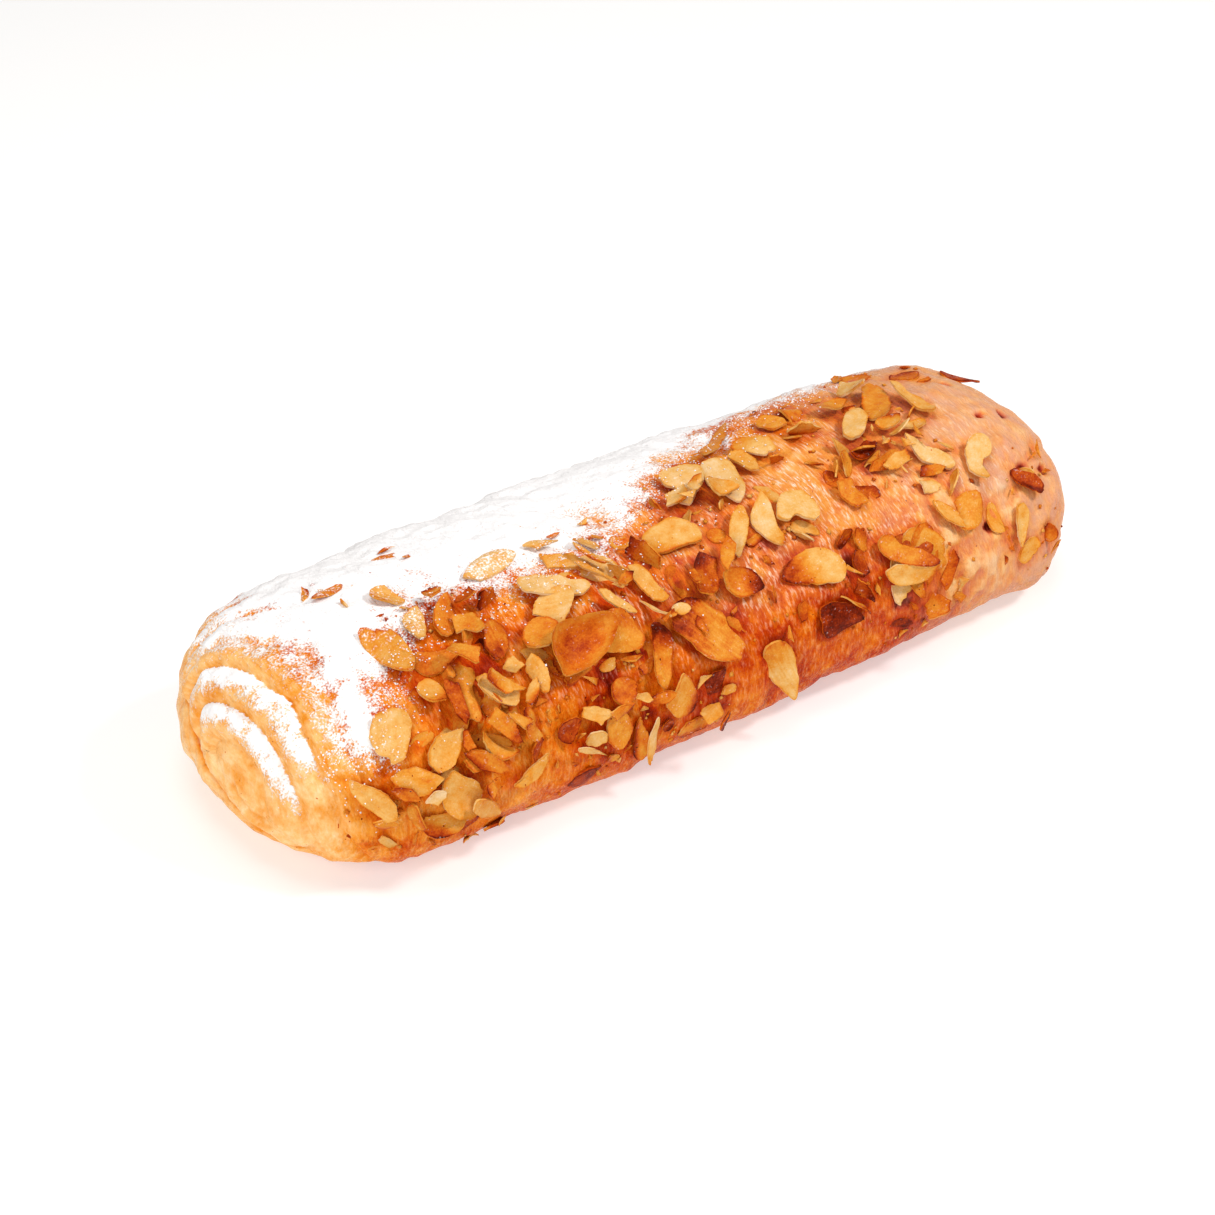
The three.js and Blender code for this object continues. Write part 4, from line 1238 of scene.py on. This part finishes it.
# Smaller flakes as the photo shows them, in its pixels: tail x, y, tip x, y, width; then brownness and pose
FLAT, EDGE, UNDER = "flat", "edge", "under"
EDGE_WIDTH = 1.7        # how much wider a flake on edge is than it looks
EDGE_LEAN = (45, 65)    # degrees from lying flat
EDGE_RISE = 0.3         # how far out its middle is, as a share of its width
UNDER_SINK = 0.5        # how deep a flake under others sits in the crust
SMALL_SUGAR = 0.5       # sugar on the smaller flakes against the large ones
SMALL = [
    # Middle of the front
    (571, 545, 599, 549, 11, 0.28, FLAT), (608, 541, 630, 540, 14, 0.42, UNDER),
    (522, 551, 558, 550, 8, 0.25, FLAT), (609, 566, 631, 590, 10, 0.35, EDGE),
    (615, 594, 631, 586, 10, 0.5, FLAT), (625, 549, 661, 571, 11, 0.5, EDGE),
    (570, 555, 609, 575, 8, 0.3, FLAT), (690, 599, 689, 575, 12, 0.62, FLAT),
    (721, 581, 726, 545, 15, 0.45, FLAT), (706, 538, 726, 536, 15, 0.52, UNDER),
    (726, 618, 748, 630, 15, 0.5, UNDER), (709, 696, 720, 664, 18, 0.85, FLAT),
    (638, 598, 666, 629, 8, 0.22, FLAT), (664, 616, 684, 614, 12, 0.15, FLAT),
    (644, 675, 650, 640, 14, 0.6, UNDER), (602, 670, 619, 660, 12, 0.3, FLAT),
    (620, 664, 641, 658, 8, 0.5, EDGE), (612, 702, 635, 679, 28, 0.6, FLAT),
    (642, 702, 665, 688, 12, 0.52, FLAT), (579, 715, 608, 716, 19, 0.25, FLAT),
    (584, 742, 602, 728, 15, 0.2, FLAT), (571, 742, 608, 754, 8, 0.18, FLAT),
    (605, 716, 628, 702, 12, 0.45, FLAT), (558, 738, 576, 716, 22, 0.7, FLAT),
    (638, 760, 644, 716, 13, 0.5, FLAT), (646, 760, 655, 715, 10, 0.15, FLAT),
    (660, 724, 671, 722, 11, 0.7, FLAT), (676, 734, 709, 719, 11, 0.5, FLAT),
    (701, 718, 716, 700, 8, 0.35, EDGE), (709, 718, 726, 705, 11, 0.8, FLAT),
    (572, 790, 602, 766, 12, 0.8, FLAT), (528, 761, 540, 738, 9, 0.75, EDGE),
    (500, 666, 521, 670, 15, 0.25, FLAT), (525, 706, 534, 680, 12, 0.3, FLAT),
    # Left cluster
    (495, 721, 521, 720, 14, 0.45, EDGE), (474, 739, 512, 746, 18, 0.45, FLAT),
    (460, 764, 492, 760, 20, 0.5, FLAT), (518, 708, 531, 739, 14, 0.5, FLAT),
    (446, 680, 465, 732, 15, 0.66, FLAT), (421, 682, 440, 710, 22, 0.3, FLAT),
    (474, 611, 495, 598, 12, 0.6, EDGE), (454, 611, 476, 606, 11, 0.68, FLAT),
    (445, 640, 446, 601, 14, 0.5, EDGE), (426, 605, 442, 598, 14, 0.48, FLAT),
    (468, 650, 468, 632, 8, 0.48, EDGE), (478, 668, 484, 640, 20, 0.8, UNDER),
    (366, 630, 413, 680, 30, 0.36, FLAT), (369, 600, 405, 598, 15, 0.3, FLAT),
    (388, 785, 418, 798, 15, 0.55, FLAT), (408, 802, 422, 829, 10, 0.4, EDGE),
    (420, 826, 462, 812, 11, 0.4, EDGE), (421, 800, 439, 785, 15, 0.04, FLAT),
    (371, 818, 398, 818, 14, 0.45, FLAT), (474, 785, 488, 780, 15, 0.5, FLAT),
    (378, 836, 394, 848, 8, 0.2, FLAT), (484, 826, 500, 822, 6, 0.5, FLAT),
    (482, 715, 518, 738, 20, 0.5, FLAT), (476, 682, 519, 698, 16, 0.35, FLAT),
    (477, 693, 515, 707, 12, 0.45, EDGE), (500, 713, 522, 727, 14, 0.38, FLAT),
    (476, 737, 512, 755, 15, 0.4, EDGE), (515, 722, 535, 742, 14, 0.42, FLAT),
    (460, 750, 503, 772, 20, 0.52, FLAT), (443, 660, 476, 675, 15, 0.4, FLAT),
    (782, 420, 805, 412, 15, 0.5, FLAT), (479, 698, 496, 714, 13, 0.5, EDGE),
    (313, 604, 343, 587, 7, 0.55, FLAT), (366, 562, 418, 550, 5, 0.5, UNDER),
    # Right of the middle
    (666, 512, 685, 500, 18, 0.16, FLAT), (688, 512, 698, 492, 12, 0.18, FLAT),
    (701, 505, 732, 495, 20, 0.32, FLAT), (748, 546, 762, 534, 10, 0.5, UNDER),
    (757, 486, 782, 502, 11, 0.3, UNDER), (791, 524, 820, 533, 12, 0.3, UNDER),
    (786, 530, 811, 546, 6, 0.25, EDGE), (836, 549, 849, 532, 8, 0.75, EDGE),
    (852, 531, 868, 552, 14, 0.52, FLAT), (846, 555, 869, 570, 20, 0.72, FLAT),
    (850, 579, 871, 602, 9, 0.72, EDGE), (838, 595, 868, 611, 6, 0.4, EDGE),
    (800, 622, 800, 599, 9, 0.65, FLAT), (845, 478, 844, 454, 10, 0.4, EDGE),
    (836, 482, 835, 465, 9, 0.4, EDGE), (828, 455, 856, 449, 6, 0.3, EDGE),
    (852, 465, 872, 445, 15, 0.8, FLAT), (855, 458, 872, 449, 10, 0.55, EDGE),
    (866, 468, 880, 452, 9, 0.45, EDGE), (869, 476, 896, 461, 14, 0.5, FLAT),
    (884, 475, 904, 462, 15, 0.3, FLAT), (788, 439, 822, 432, 8, 0.35, EDGE),
    (728, 458, 760, 471, 12, 0.35, FLAT), (675, 471, 698, 465, 10, 0.6, UNDER),
    (920, 614, 938, 592, 11, 0.5, EDGE), (938, 590, 955, 549, 6, 0.62, EDGE),
    (890, 625, 912, 621, 9, 0.85, FLAT), (904, 536, 948, 560, 36, 0.36, UNDER),
    # Right end
    (836, 391, 868, 403, 15, 0.2, FLAT), (897, 436, 926, 425, 12, 0.24, FLAT),
    (842, 384, 865, 375, 10, 0.5, UNDER), (891, 380, 918, 374, 11, 0.6, UNDER),
    (760, 432, 780, 424, 22, 0.42, FLAT), (874, 430, 900, 429, 11, 0.35, FLAT),
    (879, 438, 894, 455, 11, 0.3, FLAT), (889, 446, 905, 436, 10, 0.25, FLAT),
    (918, 475, 942, 472, 10, 0.5, FLAT), (950, 498, 954, 472, 9, 0.35, EDGE),
    (919, 490, 938, 485, 14, 0.12, FLAT), (1019, 561, 1036, 536, 11, 0.35, FLAT),
    (1045, 540, 1046, 521, 6, 0.6, EDGE), (1011, 468, 1038, 495, 15, 0.7, FLAT),
    (1018, 470, 1034, 486, 6, 0.35, EDGE),
]
SMALL_CORNERS = (0, 0, 5, 6, 7)     # a flake without corners is round, with one break

# Large flakes with others under them: how many each has, and how far they stray along and around
CROWDED = [3, 15, 17, 19, 20, 22, 24, 26, 27, 28, 29, 31, 32, 34, 37, 38, 39, 44, 45, 47, 48, 51]
LOWER_COUNT = 2
LOWER_STRAY, LOWER_STRAY_DEGREES = 4, 5
LOWER_LENGTH, LOWER_WIDTH = (0.6, 0.9), (0.3, 0.6)
LOWER_BROWNER, LOWER_TONES = (0.08, 0.12), (0.15, 0.8)
LOWER_CORNERS = (0, 5, 6)

# The thin flake on the outline: the photo's pixels of its ends, millimetres wide, its brownness and its place
PROUD_TAIL, PROUD_TIP = np.array([938, 374]), np.array([982, 382])
PROUD_WIDTH = 5.0
PROUD_TONE = 0.7
PROUD_SINK = 0.4
PROUD_REACH = 0.2       # how much of its length it is shifted out

# Flakes on the back, and broken bits
BACK_ALONG, BACK_DEGREES = (-98, 108), (-106, -84)
BACK_LENGTH, BACK_WIDTH = (9, 17), (0.35, 0.7)
BACK_TONES = (0.14, 0.25, 0.34, 0.42, 0.5, 0.62)
BACK_CORNERS = (0, 0, 5, 6)
BIT_ALONG = (-100, 105)
BIT_STRAY, BIT_STRAY_DEGREES = 5, 6
BIT_LENGTH, BIT_WIDTH = (2.5, 6), (0.2, 0.6)
BIT_TONES = (0.25, 0.35, 0.4, 0.45, 0.5, 0.55, 0.65)
BITS_ON_EDGE = 0.25
BITS_ON_BACK = 0.25


def lay_flake(pile, rng, heap, along, around, turn, length, width, tone, pose, corners):
    """Adds one flake to a heap: flat on what is already there, under it, or standing on edge in the crust."""
    inward = smoothstep(0.1, 0.5, outward(along, around) @ FACING) * smoothstep(75, 40, math.degrees(around))
    ground = pile.bare if pose == UNDER else pile.height
    tilt = rng.normal(0, TILT, 2) * inward * (pose != UNDER)
    origin, axes = pile.lay(along, around, turn, length, width, tilt, ground)
    form = any_form(rng, int(corners == 0), corners) | {"sugar": SMALL_SUGAR}
    if pose == UNDER:
        form["bend"] = (0.0, 0.0)
        origin = origin - axes[2] * UNDER_SINK
    if pose == EDGE:
        width = width * EDGE_WIDTH
        bank = math.radians(rng.uniform(*EDGE_LEAN)) * rng.choice((-1, 1))
        lean, rise = math.cos(bank), math.sin(bank)
        axes = np.array([[1, 0, 0], [0, lean, rise], [0, -rise, lean]]) @ axes
        origin = smooth_point(along, around) + outward(along, around) * width * EDGE_RISE
    points, faces, fields = flake_mesh(rng, length, width, tone, form)
    points = origin + points @ axes
    pile.cover(points[fields["upper"] > 0])
    heap.add(points, faces, flake_sugar(points, fields, form))


def make_small_flakes(pile, material):
    """The smaller flakes that can be told apart in the photo."""
    rng = np.random.default_rng(SEED + 1)
    heap = Heap()
    for *seen, tone, pose in SMALL:
        lay_flake(pile, rng, heap, *SIGHT.flake(*seen), tone, pose, rng.choice(SMALL_CORNERS))
    heap.piece("small_flakes", material, "flake_golden")


def make_lower_flakes(pile, material):
    """Flakes that show in part from under the large ones in the crowded places."""
    rng = np.random.default_rng(SEED + 7)
    heap = Heap()
    for number in CROWDED:
        middle, _, size = node_frame(f"almond_flake_{number:02d}")
        along, around = unrolled(middle)
        for _ in range(LOWER_COUNT):
            place = (along + rng.normal(0, LOWER_STRAY),
                     around + math.radians(rng.normal(0, LOWER_STRAY_DEGREES)))
            length = size[0] * rng.uniform(*LOWER_LENGTH)
            tone = np.clip(TONES[number - 1] + rng.normal(*LOWER_BROWNER), *LOWER_TONES)
            turn, width = rng.uniform(0, 2 * np.pi), length * rng.uniform(*LOWER_WIDTH)
            lay_flake(pile, rng, heap, *place, turn, length, width, tone, UNDER, rng.choice(LOWER_CORNERS))
    heap.piece("lower_flakes", material, "flake_golden")


def make_proud_flake(pile, material):
    """The thin brown flake that stands out from the far end of the roll's outline."""
    rng = np.random.default_rng(SEED + 6)
    along, around = SIGHT.place(*(PROUD_TAIL * 0.7 + PROUD_TIP * 0.3))
    base, normal = smooth_point(along, around), outward(along, around)
    _, right, up, _ = camera_axes()
    seen_right, seen_down = PROUD_TIP - PROUD_TAIL
    run = (right * seen_right - up * seen_down) * SENSOR * CAMERA["distance"] / (CAMERA["lens"] * PICTURE)
    ahead = unit(run)
    normal = unit(normal - ahead * (normal @ ahead))
    form = any_form(rng, 1)
    points, faces, fields = flake_mesh(rng, np.linalg.norm(run), PROUD_WIDTH, PROUD_TONE, form)
    origin = base - normal * PROUD_SINK + run * PROUD_REACH
    points = origin + points @ np.stack([ahead, np.cross(normal, ahead), normal])
    pile.cover(points[fields["upper"] > 0])
    mesh_piece("proud_flake", points, [faces], flake_sugar(points, fields, form), material)


def make_back_flakes(pile, material, count=48):
    """Flakes on the hidden back, nearly as crowded as on the front."""
    rng = np.random.default_rng(SEED + 3)
    heap = Heap()
    for _ in range(count):
        place = rng.uniform(*BACK_ALONG), math.radians(rng.uniform(*BACK_DEGREES))
        length = rng.uniform(*BACK_LENGTH)
        turn, width = rng.uniform(0, 2 * np.pi), length * rng.uniform(*BACK_WIDTH)
        tone, corners = rng.choice(BACK_TONES), rng.choice(BACK_CORNERS)
        lay_flake(pile, rng, heap, *place, turn, length, width, tone, FLAT, corners)
    heap.piece("back_flakes", material, "flake_golden")


def small_places():
    """Where the smaller flakes lie: along and around of each."""
    return [SIGHT.flake(*row[:5])[:2] for row in SMALL]


def bit_place(rng, pile, places):
    """An open place for a broken bit: beside one of the smaller flakes, or sometimes on the back."""
    while True:
        if rng.random() < BITS_ON_BACK:
            along, around = rng.uniform(*BIT_ALONG), math.radians(rng.uniform(*BACK_DEGREES))
        else:
            along, around = places[rng.integers(len(places))]
            along = along + rng.normal(0, BIT_STRAY)
            around = around + math.radians(rng.normal(0, BIT_STRAY_DEGREES))
        if not pile.covered[pile.cells(along, around)]:
            return along, around


def make_broken_flakes(pile, material, count=110):
    """Broken bits between the flakes."""
    rng = np.random.default_rng(SEED + 2)
    places = small_places()
    heap = Heap()
    for _ in range(count):
        length = rng.uniform(*BIT_LENGTH)
        width = length * rng.uniform(*BIT_WIDTH)
        tone = rng.choice(BIT_TONES)
        pose = EDGE if rng.random() < BITS_ON_EDGE else FLAT
        place = bit_place(rng, pile, places)
        if abs(outward(*place) @ FACING) < RIDGE_FACING:
            pose = FLAT
        turn, corners = rng.uniform(0, 2 * np.pi), rng.integers(3, 7)
        lay_flake(pile, rng, heap, *place, turn, length, width, tone, pose, corners)
    heap.piece("broken_flakes", material, "flake_toasted")


# Crumbs and loose sugar

LUMP_POINTS = np.array([(1, 0, 0), (-1, 0, 0), (0, 1, 0), (0, -1, 0), (0, 0, 1), (0, 0, -1)], float)
LUMP_FACES = np.array([
    (0, 2, 4), (2, 1, 4), (1, 3, 4), (3, 0, 4), (2, 0, 5), (1, 2, 5), (3, 1, 5), (0, 3, 5),
])
LUMP_RISE = 0.15        # how far out a lump's middle is, as a share of its size
CRUMB_SIZE, CRUMB_TONE, CRUMB_SUGAR = (0.7, 2.2), (0.2, 0.75), 0.4
GRAIN_ALONG, GRAIN_SIZE = (-118, 85), (0.35, 0.85)
GRAIN_BACK, GRAIN_REACH = 6, 9      # degrees: where specks begin behind the sugar's edge, their usual reach
GRAINS_LOST = 0.7       # share of the specks falling on flakes that do not stay there


def lump(rng, along, around, top, size):
    """A tiny uneven lump lying at a place."""
    _, lengthways, sideways, normal = surface_axes(along, around)
    shape = LUMP_POINTS * rng.uniform(0.6, 1.2, (6, 1)) * (1, rng.uniform(0.6, 1), rng.uniform(0.4, 0.8))
    turn = rng.uniform(0, 2 * np.pi)
    ahead = math.cos(turn) * lengthways + math.sin(turn) * sideways
    axes = np.stack([ahead, np.cross(normal, ahead), normal])
    return top + (size / 2) * shape @ axes + normal * size * LUMP_RISE


def make_crumbs(pile, material, count=260):
    """Almond crumbs among the flakes."""
    rng = np.random.default_rng(SEED + 4)
    places = small_places()
    heap = Heap()
    for _ in range(count):
        along, around = bit_place(rng, pile, places)
        top = pile.top(np.array(along), np.array(around))
        points = lump(rng, along, around, top, rng.uniform(*CRUMB_SIZE))
        toast = np.full(len(points), rng.uniform(*CRUMB_TONE))
        sugar = CRUMB_SUGAR * sugar_cover(*unrolled(points))
        heap.add(points, LUMP_FACES, {"toast": toast, "sugar": sugar})
    heap.piece("crumbs", material, "flake_golden")


def make_sugar_grains(pile, count=3600):
    """Loose specks of sugar past the edge of the powdered part."""
    rng = np.random.default_rng(SEED + 5)
    heap = Heap()
    for _ in range(count):
        along = rng.uniform(*GRAIN_ALONG)
        edge = np.interp(along, SUGAR_EDGE[:, 0], SUGAR_EDGE[:, 1])
        around = math.radians(edge - GRAIN_BACK + rng.exponential(GRAIN_REACH))
        top = pile.top(np.array(along), np.array(around))
        size = rng.uniform(*GRAIN_SIZE)
        if pile.covered[pile.cells(along, around)] and rng.random() < GRAINS_LOST:
            continue
        points = lump(rng, along, around, top, size)
        heap.add(points, LUMP_FACES, {})
    heap.piece("sugar_grains", sugar_material(), "icing_sugar")


# Stage, in metres and watts

FLOOR_SIZE = 6
FLOOR_TINTS = (206, 204, 202), (209, 207, 205)
FLOOR_ROUGHNESS = 0.7
FLOOR_GLOW = 0.45
SKY = (1.0, 0.985, 0.965, 1)
SKY_STRENGTH = 0.3
LIGHTS_AIM = Vector((0, 0, 0.02))
LIGHTS = {
    "key": {"place": (0.52, -0.5, 0.88), "size": 0.2, "power": 6.5},
    "fill": {"place": (-0.8, -0.5, 0.6), "size": 0.8, "power": 5.9},
    "top": {"place": (-0.1, 0.08, 1.1), "size": 0.6, "power": 4.2},
}


def make_floor():
    """A plain pale floor that glows a little."""
    bpy.ops.mesh.primitive_plane_add(size=FLOOR_SIZE)
    floor = bpy.context.object
    floor.name = "floor"
    shader = Shader("floor")
    tint = shader.mix(shader.noise(size=300.0, detail=1.0), *(linear(*tint) for tint in FLOOR_TINTS))
    shader.put("Base Color", tint)
    shader.put("Roughness", FLOOR_ROUGHNESS)
    shader.put("Emission Color", (1, 1, 1, 1))
    shader.put("Emission Strength", FLOOR_GLOW)
    floor.data.materials.append(shader.material)


def make_camera():
    """The camera that sees the roll as the photo does."""
    place, _, _, forward = camera_axes()
    data = bpy.data.cameras.new("camera")
    data.lens = CAMERA["lens"]
    data.sensor_width = SENSOR
    camera = bpy.data.objects.new("camera", data)
    camera.location = Vector(place * MM)
    camera.rotation_euler = Vector(forward).to_track_quat("-Z", "Y").to_euler()
    bpy.context.scene.collection.objects.link(camera)
    bpy.context.scene.camera = camera


def area_light(name, place, size, power):
    """A round soft light that points at the pastry."""
    data = bpy.data.lights.new(name, "AREA")
    data.shape = "DISK"
    data.size = size
    data.energy = power
    light = bpy.data.objects.new(name, data)
    light.location = place
    light.rotation_euler = (LIGHTS_AIM - Vector(place)).to_track_quat("-Z", "Y").to_euler()
    bpy.context.scene.collection.objects.link(light)


def make_lights():
    """Soft studio light from three sides and all round."""
    world = bpy.data.worlds.new("studio")
    world.use_nodes = True
    world.node_tree.nodes["Background"].inputs["Color"].default_value = SKY
    world.node_tree.nodes["Background"].inputs["Strength"].default_value = SKY_STRENGTH
    bpy.context.scene.world = world
    for name, light in LIGHTS.items():
        area_light(name, **light)
    bpy.context.scene.view_settings.view_transform = "Standard"


make_camera()
make_lights()
make_floor()
pile = Pile()
almond = almond_material()
make_node_flakes(pile, almond)
make_lower_flakes(pile, almond)
make_small_flakes(pile, almond)
make_proud_flake(pile, almond)
make_back_flakes(pile, almond)
make_broken_flakes(pile, almond)
make_crumbs(pile, almond)
make_sugar_grains(pile)
make_roll(pile)
